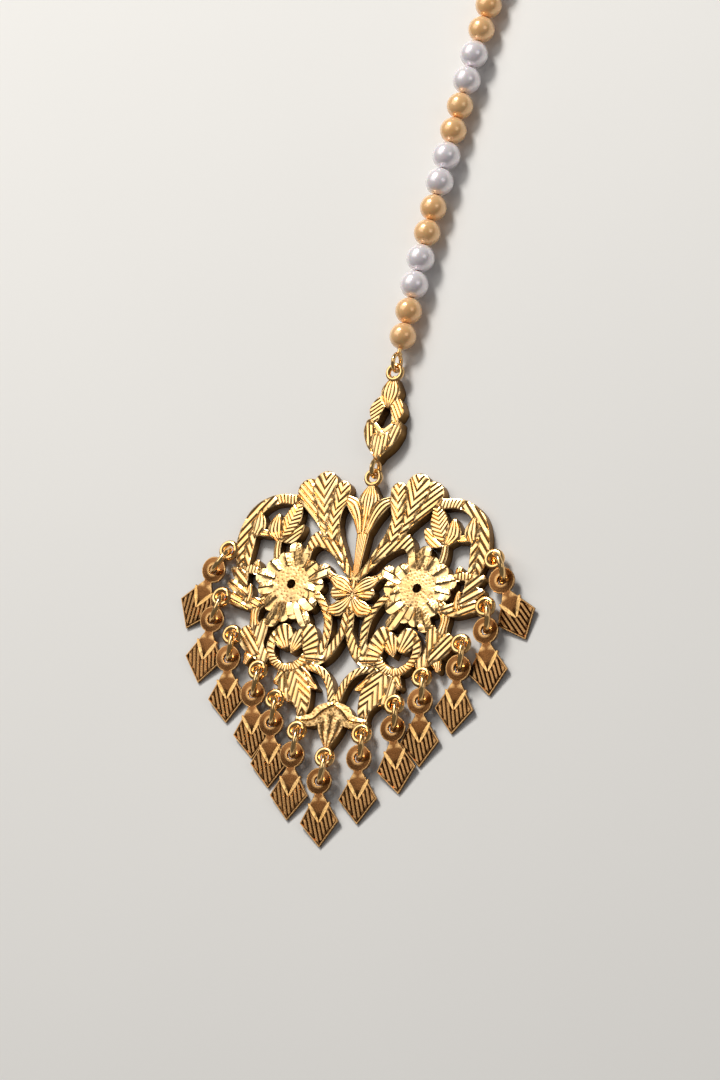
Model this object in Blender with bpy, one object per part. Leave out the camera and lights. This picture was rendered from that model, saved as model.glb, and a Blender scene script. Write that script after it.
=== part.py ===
"""A maang tikka, the forehead ornament of a bridal set, lying face up on a flat surface.

A pierced gold heart carries thirteen small drops on jump rings. A leaf-shaped connector joins the
heart to a string of drilled pearls on a wire, and a plain wire hook for the hair ends the string.

Metres, +Z up. The surface is z = 0, +Y runs along the heart's axis towards the string, and the
origin lies on the heart's back, under the small star in its middle.
"""

import math

import bmesh
import bpy
from mathutils import Matrix, Vector
from mathutils.geometry import delaunay_2d_cdt

MM = 0.001

# Heart
HEART_WIDTH = 39.1 * MM
HEART_SQUARES = 39.1         # squares of the drawing grid across the heart
PLATE_EDGE = 1.6 * MM        # height of a leaf's rim above the heart's back
PLATE_CROWN = 0.18 * MM      # rise from a leaf's rim to its ridge
PLATE_DOME = 0.3 * MM        # further rise of the whole face towards its middle
LOOP_RADIUS = 1.08 * MM      # the drops' soldered loops, to the middle of the wire
LOOP_WIRE = 0.86 * MM
TOP_RADIUS = 1.02 * MM       # the heart's and the connector's top loops
TOP_WIRE = 0.74 * MM
LOOP_HEIGHT = 1.5 * MM       # middle of the loops above the surface
LOOP_SEAT = 0.5 * MM         # how deep a loop's wire sits in the heart's edge

# Jump rings and drops
RING_RADIUS = 1.92 * MM
RING_WIRE = 0.85 * MM
RING_LEAN = 28               # degrees that each jump ring leans to the heart's right
LINK_GAP = 0.1 * MM          # air between linked wires
DROP_THICKNESS = 0.4 * MM
DROP_DISC = 3.6 * MM
DROP_HOLE = 1.44 * MM
DROP_NECK = 1.2 * MM
DROP_NECK_LENGTH = 0.25 * MM
DROP_WIDTH = 5.6 * MM
DROP_LENGTH = 9.0 * MM       # from the hole's centre to the point
DROP_WIDEST = 5.6 * MM       # from the hole's centre to the widest place
DROP_HEIGHT = 1.5 * MM       # the disc's middle above the surface, held up by its ring

# Connector
CONNECTOR_LENGTH = 12.2 * MM
CONNECTOR_SQUARES = 12.2     # squares of its drawing grid along it
CONNECTOR_EDGE = 2.0 * MM
CONNECTOR_CROWN = 0.3 * MM
CONNECTOR_LEAN = 2.5         # degrees from +Y towards +X
CONNECTOR_LOOP_HEIGHT = 1.9 * MM
STANDING_RADIUS = 1.15 * MM  # its lower ring stands on edge
STANDING_WIRE = 0.7 * MM

# Pearls on their wire
WHITE_PEARL = 4.0 * MM
PEACH_PEARL = 3.8 * MM
PEARL_BORE = 0.9 * MM
PEARL_GAP = 0.08 * MM
PEARL_COUNT = 16
STRING_WIRE = 0.6 * MM
STRING_TURN = 0.085          # degrees the string bends to the right for each millimetre
EYE_RADIUS = 1.2 * MM
EYE_SHANK = 0.55 * MM        # bare wire between an eye and its pearl

# Hair hook
HOOK_WIRE = 0.9 * MM
HOOK_EYE_RADIUS = 1.35 * MM
HOOK_SHANK = 8.0 * MM
HOOK_BEND = 1.9 * MM
HOOK_RETURN = 5.5 * MM

# Fineness of the solids
WIRE_SIDES = 6
HOOK_SIDES = 8
RING_SIDES = 12
PEARL_SIDES = 12
PEARL_BANDS = 7
STRING_BENDS = 14
HOOK_BENDS = 8
SMOOTH_EDGE = 60             # degrees, under which an edge is shaded smooth

# Fineness of the leaf work, in squares of its drawing grid
MOTIF_STEP = 1.4             # between the points of a motif's edge
END_PARTS = 4                # corners of a motif's round end
NARROW_END = 0.3             # ends with a smaller half width are pointed
FULL_CROWN = 0.9             # leaves with a smaller half width have a lower ridge
SMALLEST_GAP = 0.3           # openings with a smaller area are closed by the metal
WELD = 0.17                  # points that are closer become one

# A motif is a run of rows (x, y, half_width) along its midrib, in squares of the drawing grid.
# Later motifs lie on earlier ones. MIDDLE motifs sit on the heart's axis; SIDE motifs are mirrored.
MIDDLE_MOTIFS = {
    "spine": [(0, 15.7, 0.45), (0, 14.9, 1.0), (0, 13.6, 1.6), (0, 12.0, 1.15), (0, 10.3, 1.0),
              (0, 7.5, 0.75), (0, 4.5, 0.5), (0, 1.5, 0.45)],
    "star_middle": [(0, 1.6, 0.4), (0, 0, 0.75), (0, -1.4, 0.5), (0, -3.0, 0.4)],
    "finial": [(0, -15.9, 0.75), (0, -17.2, 1.8), (0, -18.9, 1.85), (0, -20.4, 1.25),
               (0, -21.8, 0.4)],
}
SIDE_MOTIFS = {
    "shoulder": [(0.6, 9.0, 0.35), (1.25, 11.2, 0.75), (2.05, 12.7, 0.95), (2.9, 13.35, 0.75),
                 (4.0, 13.7, 0.6)],
    "lower_stem": [(0.3, -1.8, 0.45), (0.4, -3.8, 0.5), (0.5, -5.5, 0.55), (1.05, -6.7, 0.62),
                   (1.7, -8.0, 0.66), (2.6, -9.1, 0.7), (3.8, -9.9, 0.65)],
    "side_stem": [(6.6, 0.2, 0.55), (5.2, -0.5, 0.52), (4.3, -1.4, 0.5), (3.55, -2.6, 0.55),
                  (3.0, -3.9, 0.58), (2.85, -5.4, 0.54), (2.95, -6.9, 0.5), (3.5, -8.4, 0.7)],
    "lower_ribbon": [(5.2, -10.5, 0.5), (3.3, -10.95, 0.5), (2.1, -11.65, 0.52),
                     (1.3, -12.7, 0.55), (0.8, -13.9, 0.52), (0.5, -15.2, 0.5), (0.4, -16.2, 0.4)],
    "rim": [(10.4, 13.35, 0.85), (11.6, 13.4, 0.7), (13.2, 13.52, 0.68), (14.8, 13.2, 0.7),
            (16.2, 12.35, 0.8), (17.3, 11.0, 0.92), (18.05, 9.0, 0.95), (18.3, 7.0, 1.0),
            (18.2, 5.2, 0.9), (17.8, 3.6, 0.75)],
    "inner_rim": [(17.0, 8.2, 0.5), (17.15, 6.6, 0.55), (17.25, 4.6, 0.5), (17.1, 2.9, 0.45),
                  (17.0, 1.6, 0.4)],
    "rim_leaf_foot": [(14.6, 8.35, 0.4), (15.5, 8.5, 0.52), (16.6, 8.9, 0.7)],
    "rim_leaf": [(16.35, 11.2, 0.35), (16.3, 10.3, 0.85), (16.3, 9.3, 1.0), (16.5, 8.6, 0.65)],
    "ivy_stem": [(12.75, 7.9, 0.42), (12.8, 6.2, 0.46), (12.6, 5.0, 0.5), (12.3, 3.8, 0.5)],
    "ivy_left": [(9.45, 9.55, 0.28), (10.2, 8.75, 0.9), (11.2, 8.05, 1.1), (12.3, 7.8, 0.6)],
    "ivy_top": [(10.6, 12.6, 0.6), (10.95, 11.6, 1.1), (11.4, 10.2, 1.3), (12.0, 8.9, 1.1),
                (12.5, 7.9, 0.55)],
    "ivy_right": [(13.5, 10.9, 0.4), (13.65, 9.9, 0.95), (13.6, 8.8, 1.15), (13.1, 7.9, 0.55)],
    "palmette_stem": [(0.5, 2.3, 0.4), (1.6, 3.7, 0.6), (2.55, 5.05, 0.75), (3.4, 6.4, 0.95),
                      (4.2, 8.0, 0.95), (4.7, 9.6, 0.95)],
    "scroll": [(2.4, 4.7, 0.45), (3.9, 6.4, 0.85), (5.0, 7.4, 1.15), (6.15, 7.85, 1.2),
               (7.15, 7.35, 0.95), (7.75, 6.2, 0.5), (7.95, 4.8, 0.4)],
    "palmette_outer": [(6.4, 9.9, 0.6), (7.6, 11.8, 1.1), (8.8, 13.5, 1.5), (9.45, 14.8, 1.72)],
    "palmette_middle": [(5.6, 8.6, 0.7), (6.2, 10.4, 0.95), (6.65, 12.6, 1.25),
                        (7.05, 14.6, 1.7), (7.1, 15.9, 1.78)],
    "palmette_inner": [(4.6, 8.3, 0.75), (4.8, 9.8, 0.95), (4.85, 11.6, 0.95),
                       (4.5, 13.4, 1.15), (4.35, 15.1, 1.22)],
    "star_link": [(2.6, 1.9, 0.6), (3.5, 2.35, 0.45), (4.4, 2.9, 0.5)],
    "star_low": [(0.35, -0.7, 0.4), (1.0, -1.6, 0.85), (1.8, -2.2, 1.1), (2.65, -2.35, 0.75)],
    "star_side": [(0.4, 0.0, 0.35), (1.4, 0.15, 0.75), (2.3, 0.15, 1.0)],
    "star_high": [(0.3, 0.35, 0.35), (1.4, 1.1, 0.9), (2.4, 1.55, 1.0), (3.2, 2.0, 0.5)],
    "bud": [(15.4, 2.9, 0.6), (15.5, 3.9, 0.52)],
    "bud_foot": [(14.8, 2.8, 0.4), (16.0, 3.1, 0.6), (17.2, 3.0, 0.5)],
    "side_link": [(12.6, -0.9, 0.85), (13.8, -1.6, 0.8), (14.5, -2.7, 0.68), (14.45, -4.0, 0.55),
                  (14.2, -5.4, 0.85)],
    "side_leaf_low": [(14.4, -1.8, 0.7), (15.6, -1.75, 1.0), (16.9, -1.4, 1.05),
                      (18.3, -1.15, 0.9)],
    "side_leaf_tip": [(15.95, 0.75, 0.22), (15.9, -0.4, 0.45), (16.1, -1.3, 0.6)],
    "side_leaf_mid": [(16.5, -0.6, 0.5), (17.4, 0.3, 0.9), (18.5, 0.85, 0.85), (19.2, 1.0, 0.4)],
    "side_leaf_high": [(16.95, 0.9, 0.45), (17.7, 2.0, 0.85), (18.5, 2.7, 0.72),
                       (19.05, 3.0, 0.35)],
    "lower_leaf_tip": [(14.65, -10.3, 0.35), (14.3, -9.3, 0.7), (13.7, -8.2, 0.9)],
    "lower_leaf_inner": [(12.75, -4.75, 0.7), (13.15, -5.7, 1.0), (13.4, -7.3, 1.0),
                         (13.0, -8.7, 1.05), (12.0, -9.6, 0.8)],
    "lower_leaf_outer": [(15.35, -5.95, 0.8), (15.2, -6.8, 1.15), (14.3, -8.0, 1.05),
                         (13.4, -9.0, 0.6)],
    "serrated_right": [(7.6, -11.2, 1.1), (8.5, -12.3, 1.15), (9.3, -12.9, 0.45)],
    "serrated_left": [(6.2, -11.4, 0.9), (5.0, -12.4, 0.95), (4.0, -13.15, 0.6),
                      (3.05, -13.6, 0.2)],
    "serrated_lobe": [(7.1, -11.8, 1.2), (7.6, -13.2, 1.4), (7.5, -14.3, 1.1),
                      (7.0, -15.1, 0.65)],
    "serrated_main": [(6.9, -11.0, 1.0), (6.2, -12.7, 1.5), (5.4, -14.5, 1.65),
                      (4.8, -16.0, 1.1), (4.65, -17.1, 0.75), (4.8, -18.1, 0.55)],
    "finial_wing": [(0.5, -16.2, 0.7), (1.6, -17.0, 1.15), (2.7, -18.05, 0.95),
                    (4.0, -18.25, 0.72), (5.0, -18.2, 0.45)],
    "eye_foot": [(3.0, -9.4, 0.45), (4.3, -9.6, 0.75), (5.6, -9.5, 0.75)],
    "eye_ribbon": [(10.0, -5.5, 0.6), (10.9, -6.7, 0.62), (11.15, -7.9, 0.58),
                   (10.9, -9.0, 0.55), (10.25, -9.95, 0.55), (9.3, -10.7, 0.55),
                   (8.1, -10.95, 0.55), (6.9, -10.6, 0.6), (5.8, -9.9, 0.7)],
    "eye_right": [(9.2, -6.85, 1.35), (9.45, -5.95, 1.3)],
    "eye_beak": [(7.75, -8.6, 0.2), (7.3, -7.6, 0.92), (6.95, -6.6, 1.12), (6.2, -5.9, 0.9)],
    "eye_left": [(4.6, -9.2, 0.9), (4.95, -8.0, 1.15), (5.15, -6.7, 1.2), (5.6, -5.6, 1.0)],
}
# The flower: each lobe's direction in degrees, reach and half width, in squares
FLOWER = (9.62, 1.1)
FLOWER_EYE = 0.7
FLOWER_DISC = 2.7
FLOWER_LEVEL = 0.6           # share of the crown
FLOWER_LOBES = [(181, 4.95, 1.15), (156, 6.1, 0.98), (137, 4.6, 1.2), (104, 5.35, 1.05),
                (87, 6.1, 0.95), (66, 4.95, 1.15), (38, 5.1, 1.2), (12, 5.8, 1.15),
                (-10, 5.1, 1.05), (-47, 4.95, 1.2), (-69, 6.6, 1.0), (-84, 5.5, 0.95),
                (-106, 5.2, 1.15), (-119, 6.8, 0.95), (-140, 5.3, 1.2), (-162, 4.1, 1.2)]

# Soldered loops: the place on the heart's edge in squares, and the directions in degrees of the
# loop from there, of the jump ring on it and of the drop on that
HANGERS = [(-19.3, 5.7, 180, -122, -112), (-19.15, -1.1, 180, -104, -97),
           (-16.45, -6.5, 180, -89, -85), (-12.4, -10.4, -95, -92, -84),
           (-8.5, -14.6, -125, -89, -86), (-4.7, -18.8, -103, -91, -88), (0, -22.3, -90, -93, -83),
           (4.7, -18.8, -77, -86, -85), (8.5, -14.6, -55, -83, -78), (12.4, -10.4, -85, -84, -84),
           (16.45, -6.5, 0, -86, -90), (19.15, -1.1, 0, -79, -80), (19.3, 5.7, 0, -61, -61)]
TOP_LOOP = (0, 16.05, 90)

# The connector's motifs, in its own squares from its lower point
CONNECTOR_MOTIFS = {
    "foot": [(0, 0.2, 0.3), (0, 1.2, 0.8), (0, 2.6, 1.5), (0, 3.6, 1.7)],
    "right_shield": [(0.3, 1.2, 0.5), (1.1, 2.8, 1.0), (1.9, 4.6, 0.95), (2.2, 5.5, 0.5)],
    "left_shield": [(-0.3, 1.2, 0.5), (-1.1, 2.8, 1.0), (-1.9, 4.6, 0.95), (-2.2, 5.5, 0.5)],
    "right_leaf": [(1.5, 6.1, 0.5), (1.65, 7.3, 0.95), (1.1, 8.6, 0.85), (0.4, 9.3, 0.5)],
    "left_leaf": [(-1.5, 6.1, 0.5), (-1.65, 7.3, 0.95), (-1.1, 8.6, 0.85), (-0.4, 9.3, 0.5)],
    "head": [(0, 8.4, 0.55), (0, 9.6, 1.3), (0, 10.8, 1.3), (0, 12.0, 0.45)],
}
CONNECTOR_WINDOW = (0, 5.95)
CONNECTOR_WINDOW_SIZE = (1.05, 1.3)


def clear_scene():
    for thing in list(bpy.data.objects):
        bpy.data.objects.remove(thing, do_unlink=True)


def make_material(name, colour, metallic, roughness):
    material = bpy.data.materials.new(name)
    material.use_nodes = True
    shader = material.node_tree.nodes["Principled BSDF"]
    shader.inputs["Base Color"].default_value = (*colour, 1)
    shader.inputs["Metallic"].default_value = metallic
    shader.inputs["Roughness"].default_value = roughness
    return material


def add_object(name, bm, material, smooth=None):
    mesh = bpy.data.meshes.new(name)
    bmesh.ops.recalc_face_normals(bm, faces=bm.faces[:])
    bm.to_mesh(mesh)
    bm.free()
    mesh.materials.append(material)
    thing = bpy.data.objects.new(name, mesh)
    bpy.context.collection.objects.link(thing)
    if smooth is not None:
        mesh.shade_smooth()
        mesh.set_sharp_from_angle(angle=math.radians(smooth))
    return thing


# Flat outlines

def smooth_rows(rows, step):
    """Points (x, y, half_width) of a smooth curve through the rows, about a step apart."""
    points = [Vector(row) for row in rows]
    ends = [2 * points[0] - points[1]] + points + [2 * points[-1] - points[-2]]
    out = []
    for i in range(1, len(ends) - 2):
        a, b, c, d = ends[i - 1:i + 3]
        parts = max(1, round((c - b).xy.length / step))
        for k in range(parts):
            t = k / parts
            out.append(0.5 * (2 * b + (c - a) * t + (2 * a - 5 * b + 4 * c - d) * t * t
                              + (3 * b - a - 3 * c + d) * t ** 3))
    return out + [points[-1]]


def side_vectors(path):
    """A unit vector to the left of the path at each of its points."""
    out = []
    for i in range(len(path)):
        along = (path[min(i + 1, len(path) - 1)] - path[max(i - 1, 0)]).xy.normalized()
        out.append(Vector((-along.y, along.x)))
    return out


def round_end(centre, start, radius, parts):
    """Points of a half turn round a motif's end, from its right side to its left."""
    angle = math.atan2(start.y, start.x)
    turns = [angle + math.pi * k / parts for k in range(1, parts)]
    return [centre + radius * Vector((math.cos(t), math.sin(t))) for t in turns]


def outline(path, parts):
    left = side_vectors(path)
    middle = [p.xy for p in path]
    width = [p.z for p in path]
    right_side = [m - n * w for m, n, w in zip(middle, left, width)]
    left_side = [m + n * w for m, n, w in zip(middle, left, width)]
    far = round_end(middle[-1], -left[-1], width[-1], parts if width[-1] > NARROW_END else 2)
    near = round_end(middle[0], left[0], width[0], parts if width[0] > NARROW_END else 2)
    return right_side + far + left_side[::-1] + near


def flower_motifs():
    """Each lobe of the flower as a motif that starts at the flower's centre."""
    motifs = {}
    for turn, reach, half in FLOWER_LOBES:
        along = Vector((math.cos(math.radians(turn)), math.sin(math.radians(turn))))
        shares = [(0.25, 0.55), (0.65, 0.95), (1.0, 1.0)]
        rows = []
        for share, width in shares:
            spot = Vector(FLOWER) + along * (reach - half) * share
            rows.append((spot.x, spot.y, half * width))
        motifs[f"lobe_{turn}"] = rows
    return motifs


def mirrored(rows):
    return [(-x, y, w) for x, y, w in rows]


def circle(centre, radius, parts):
    turns = [2 * math.pi * (k + 0.5) / parts for k in range(parts)]
    return [Vector(centre) + radius * Vector((math.cos(t), math.sin(t))) for t in turns]


class Leaf:
    """One motif: its outline, its midrib and the height of its surface, as a share of the crown."""

    def __init__(self, rows):
        self.path = smooth_rows(rows, MOTIF_STEP)
        self.points = outline(self.path, END_PARTS)
        self.midrib = [p.xy for p in self.path]

    def height(self, spot):
        best = (1e9, 1.0)
        for a, b in zip(self.path, self.path[1:]):
            along = (b - a).xy
            t = min(max((spot - a.xy).dot(along) / max(along.length_squared, 1e-9), 0), 1)
            near = a + (b - a) * t
            away = (spot - near.xy).length
            best = min(best, (away - near.z, away / near.z))
        full = min(1.0, max(p.z for p in self.path) / FULL_CROWN)
        return full * max(0.0, 1 - best[1])


class Table:
    """A flat round or pointed area at one height, or a hole where the height is None."""

    def __init__(self, points, level):
        self.points = points
        self.midrib = []
        self.level = level

    def height(self, spot):
        return self.level


def sides_of(points):
    return list(zip(points, points[1:] + points[:1]))


def inside(sides, spot):
    """Whether a closed outline, given by its sides, goes round the spot."""
    odd = False
    for a, b in sides:
        if (a.y > spot.y) != (b.y > spot.y):
            if spot.x < a.x + (spot.y - a.y) * (b.x - a.x) / (b.y - a.y):
                odd = not odd
    return odd


def arrange(motifs):
    """The visible lines of motifs that lie on each other, as points and pairs of points."""
    points, faces, lines = [], [], []
    line_owner = []
    for k, motif in enumerate(motifs):
        base = len(points)
        points += motif.points
        faces.append(list(range(base, base + len(motif.points))))
        base = len(points)
        points += motif.midrib
        for i in range(len(motif.midrib) - 1):
            lines.append((base + i, base + i + 1))
            line_owner.append(k)
    spots, edges, cells, _, edge_from, cell_from = delaunay_2d_cdt(points, lines, faces, 0, 1e-5)
    beside = {}
    for cell, sources in zip(cells, cell_from):
        owner = max(sources, default=-1)
        for pair in sides_of(cell):
            beside.setdefault(frozenset(pair), []).append(owner)
    kept = []
    for edge, sources in zip(edges, edge_from):
        owners = beside.get(frozenset(edge), [])
        if len(owners) == 1:
            owners = owners + [-1]
        ribs = {line_owner[s] for s in sources if s < len(lines)}
        if len(set(owners)) > 1 or ribs & set(owners):
            kept.append(edge)
    return spots, kept


def weld(spots, edges, reach):
    """Joins points that lie closer than the reach."""
    used = sorted({i for edge in edges for i in edge})
    place = {}
    chosen = []
    for i in used:
        for k, spot in enumerate(chosen):
            if (spot - spots[i]).length < reach:
                place[i] = k
                break
        else:
            place[i] = len(chosen)
            chosen.append(spots[i].copy())
    pairs = {frozenset((place[a], place[b])) for a, b in edges if place[a] != place[b]}
    return chosen, [tuple(sorted(pair)) for pair in sorted(pairs, key=sorted)]


def fields(spots, edges, motifs):
    """Triangles between the lines, with the motif that each one shows, or -1 for a gap."""
    spots, edges, cells, _, edge_from, _ = delaunay_2d_cdt(spots, edges, [], 0, 1e-5)
    wall = {frozenset(edge) for edge, sources in zip(edges, edge_from) if sources}
    beside = {}
    for k, cell in enumerate(cells):
        for pair in sides_of(cell):
            beside.setdefault(frozenset(pair), []).append(k)
    area = []
    for cell in cells:
        a, b, c = (spots[i] for i in cell)
        area.append(abs((b - a).cross(c - a)) / 2)
    owner = [None] * len(cells)
    regions = []
    for first in range(len(cells)):
        if owner[first] is not None:
            continue
        region, stack = [], [first]
        owner[first] = -2
        while stack:
            k = stack.pop()
            region.append(k)
            for pair in sides_of(cells[k]):
                edge = frozenset(pair)
                for other in beside[edge]:
                    if edge not in wall and owner[other] is None:
                        owner[other] = -2
                        stack.append(other)
        largest = max(region, key=lambda k: area[k])
        middle = sum((spots[i] for i in cells[largest]), Vector((0, 0))) / 3
        found = -1
        for k, motif in enumerate(motifs):
            if inside(sides_of(motif.points), middle):
                found = k
        regions.append((region, found))
        for k in region:
            owner[k] = found
    hull = {e for e, sides in beside.items() if len(sides) == 1}
    for region, found in regions:
        open_side = any(frozenset(pair) in hull for k in region for pair in sides_of(cells[k]))
        if found == -1 and not open_side and sum(area[k] for k in region) < SMALLEST_GAP:
            near = [owner[other] for k in region for pair in sides_of(cells[k])
                    for other in beside[frozenset(pair)] if owner[other] >= 0]
            for k in region:
                owner[k] = max(near)
    return spots, cells, owner


def relief_plate(motifs, square, edge_height, crown, dome):
    """A closed plate: flat back, pierced outline, and each leaf's ridge raised above its rim.

    The dome is a rise and the distance in squares at which it has run out."""
    solid_motifs = [k for k, motif in enumerate(motifs)
                    if not (isinstance(motif, Table) and motif.level is None)]
    spots, lines = arrange(motifs)
    spots, lines = weld(spots, lines, WELD)
    spots, cells, owner = fields(spots, lines, motifs)
    metal = [k for k in range(len(cells)) if owner[k] in solid_motifs]
    top_owner = {}
    for k in metal:
        for i in cells[k]:
            top_owner[i] = max(top_owner.get(i, -1), owner[k])
    bm = bmesh.new()
    top = {}
    for i, k in top_owner.items():
        swell = max(0.0, 1 - spots[i].length_squared / dome[1] ** 2)
        rise = crown * motifs[k].height(spots[i]) + dome[0] * swell
        top[i] = bm.verts.new((spots[i].x * square, spots[i].y * square, edge_height + rise))
    sides = {}
    for k in metal:
        a, b, c = cells[k]
        bm.faces.new((top[a], top[b], top[c]))
        for pair in ((a, b), (b, c), (c, a)):
            sides.setdefault(frozenset(pair), []).append(pair)
    rim = [pairs[0] for pairs in sides.values() if len(pairs) == 1]
    back = {}
    for a, b in rim:
        for i in (a, b):
            if i not in back:
                back[i] = bm.verts.new((spots[i].x * square, spots[i].y * square, 0))
        bm.faces.new((top[b], top[a], back[a], back[b]))
    order = list(back)
    index = {i: n for n, i in enumerate(order)}
    flat = delaunay_2d_cdt([spots[i] for i in order], [(index[a], index[b]) for a, b in rim],
                           [], 0, 1e-6)
    edge = [(spots[a], spots[b]) for a, b in rim]
    for cell in flat[2]:
        middle = sum((flat[0][i] for i in cell), Vector((0, 0))) / 3
        if inside(edge, middle):
            bm.faces.new([back[order[i]] for i in reversed(cell)])
    return bm


# Wire

def tube(points, radius, sides, closed=False, turn=None):
    """A round wire along the points. A closed wire lies in one plane, whose normal is turn."""
    bm = bmesh.new()
    count = len(points)
    rings = []
    across = None
    for i, point in enumerate(points):
        before = points[(i - 1) % count] if closed or i else point
        after = points[(i + 1) % count] if closed or i < count - 1 else point
        along = (after - before).normalized()
        if turn is not None:
            across = turn
        elif across is None:
            across = along.orthogonal().normalized()
        across = (across - along * across.dot(along)).normalized()
        up = along.cross(across)
        bend = 1.0
        if closed or 0 < i < count - 1:
            cosine = (point - before).normalized().dot((after - point).normalized())
            bend = 1 / max(0.8, math.sqrt((1 + cosine) / 2))
        ring = []
        for k in range(sides):
            angle = 2 * math.pi * k / sides
            ring.append(bm.verts.new(point + radius * (across * math.cos(angle)
                                                      + up * math.sin(angle) * bend)))
        rings.append(ring)
    pairs = list(zip(rings, rings[1:] + rings[:1])) if closed else list(zip(rings, rings[1:]))
    for one, two in pairs:
        for k in range(sides):
            n = (k + 1) % sides
            bm.faces.new((one[k], one[n], two[n], two[k]))
    if not closed:
        bm.faces.new(rings[0][::-1])
        bm.faces.new(rings[-1])
    return bm


def ring_points(centre, radius, first, second, sides):
    turns = [2 * math.pi * k / sides for k in range(sides)]
    return [centre + radius * (first * math.cos(t) + second * math.sin(t)) for t in turns]


def heading(degrees):
    return Vector((math.cos(math.radians(degrees)), math.sin(math.radians(degrees)), 0))


UP = Vector((0, 0, 1))


def flat_ring(centre, radius, wire):
    points = ring_points(centre, radius, Vector((1, 0, 0)), Vector((0, 1, 0)), RING_SIDES)
    return tube(points, wire / 2, WIRE_SIDES, closed=True, turn=UP)


def standing_ring(centre, radius, wire, along, up=UP):
    points = ring_points(centre, radius, along, up, RING_SIDES)
    return tube(points, wire / 2, WIRE_SIDES, closed=True, turn=along.cross(up))


def pull(room, drop, lean=0):
    """How far a leaning ring's centre can lie from what it pulls on, that much above it."""
    fall = drop / math.cos(math.radians(lean))
    return math.sqrt(max(room * room - fall * fall, 0))


def link_distance(flat_radius, flat_wire, flat_height, ring_radius, ring_wire, ring_height, lean=0):
    """How far a standing ring's centre lies from the centre of the flat ring that it pulls on."""
    room = ring_radius - ring_wire / 2 - flat_wire / 2 - LINK_GAP
    return flat_radius + pull(room, ring_height - flat_height, lean)


def fuse(base, extras):
    """Solders closed shapes to the base object."""
    for extra in extras:
        cut = base.modifiers.new("solder", "BOOLEAN")
        cut.operation = "UNION"
        cut.solver = "EXACT"
        cut.object = extra
    return base


def guide(name, bm, material):
    thing = add_object(name, bm, material)
    thing.hide_render = True
    thing.display_type = "WIRE"
    return thing


# Pieces

def heart_motifs():
    side = dict(SIDE_MOTIFS)
    side.update(flower_motifs())
    motifs = [Leaf(rows) for rows in MIDDLE_MOTIFS.values()]
    for rows in side.values():
        motifs.append(Leaf(rows))
        motifs.append(Leaf(mirrored(rows)))
    for sign in (1, -1):
        centre = (sign * FLOWER[0], FLOWER[1])
        motifs.append(Table(circle(centre, FLOWER_DISC, RING_SIDES), FLOWER_LEVEL))
        motifs.append(Table(circle(centre, FLOWER_EYE, RING_SIDES), None))
    return motifs


def loop_centre(x, y, turn, radius, wire):
    """The middle of a loop that is soldered to the heart's edge at x, y and stands off it."""
    square = HEART_WIDTH / HEART_SQUARES
    spot = Vector((x * square, y * square, LOOP_HEIGHT))
    return spot + heading(turn) * (radius + wire / 2 - LOOP_SEAT)


def build_heart(gold):
    square = HEART_WIDTH / HEART_SQUARES
    plate = add_object("heart_plate", relief_plate(heart_motifs(), square, PLATE_EDGE, PLATE_CROWN,
                                                   (PLATE_DOME, HEART_SQUARES / 2)), gold)
    loops = [(*row[:3], LOOP_RADIUS, LOOP_WIRE) for row in HANGERS]
    loops.append((*TOP_LOOP, TOP_RADIUS, TOP_WIRE))
    rings = [guide(f"loop_{n}", flat_ring(loop_centre(*loop), *loop[3:]), gold)
             for n, loop in enumerate(loops)]
    return fuse(plate, rings)


def build_connector(gold, centre, along):
    """The leaf connector: centre is that of its standing ring, along points up the string."""
    square = CONNECTOR_LENGTH / CONNECTOR_SQUARES
    motifs = [Leaf(rows) for rows in CONNECTOR_MOTIFS.values()]
    wide, tall = CONNECTOR_WINDOW_SIZE
    window = [Vector(CONNECTOR_WINDOW) + Vector(p)
              for p in ((wide, 0), (0, tall), (-wide, 0), (0, -tall))]
    motifs.append(Table(window, None))
    bm = relief_plate(motifs, square, CONNECTOR_EDGE, CONNECTOR_CROWN, (0, 1))
    foot = centre + along * (STANDING_RADIUS - STANDING_WIRE / 4)
    turn = math.atan2(-along.x, along.y)
    bm.transform(Matrix.Translation((foot.x, foot.y, 0)) @ Matrix.Rotation(turn, 4, "Z"))
    plate = add_object("connector_link", bm, gold)
    top = foot + along * (CONNECTOR_LENGTH + TOP_RADIUS - TOP_WIRE / 4)
    top.z = CONNECTOR_LOOP_HEIGHT
    rings = [guide("connector_loop", flat_ring(top, TOP_RADIUS, TOP_WIRE), gold),
             guide("connector_foot", standing_ring(centre, STANDING_RADIUS, STANDING_WIRE, along),
                   gold)]
    fuse(plate, rings)
    return top


def build_hangers(gold, copper):
    """A ring and a drop on each soldered loop."""
    lean = math.radians(RING_LEAN)
    ring_height = RING_RADIUS * math.cos(lean) + RING_WIRE / 2
    reach = link_distance(LOOP_RADIUS, LOOP_WIRE, LOOP_HEIGHT, RING_RADIUS, RING_WIRE,
                          ring_height, RING_LEAN)
    drop_back = DROP_HEIGHT - DROP_THICKNESS / 2
    drop_reach = pull(RING_RADIUS - RING_WIRE / 2 - LINK_GAP, ring_height - drop_back,
                      RING_LEAN) + DROP_HOLE / 2
    sideways = math.tan(lean) * (ring_height - (LOOP_HEIGHT + DROP_HEIGHT) / 2)
    for n, (x, y, loop_turn, ring_turn, drop_turn) in enumerate(HANGERS, 1):
        along = heading(ring_turn)
        side = heading(ring_turn + 90)
        loop = loop_centre(x, y, loop_turn, LOOP_RADIUS, LOOP_WIRE)
        centre = loop + along * reach + side * sideways
        centre.z = ring_height
        up = UP * math.cos(lean) + side * math.sin(lean)
        add_object(f"jump_ring_{n:02d}",
                   standing_ring(centre, RING_RADIUS, RING_WIRE, along, up), gold, SMOOTH_EDGE)
        disc = loop + along * (reach + drop_reach)
        disc.z = DROP_HEIGHT
        build_drop(f"drop_{n:02d}", disc, drop_turn, copper)


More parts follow.
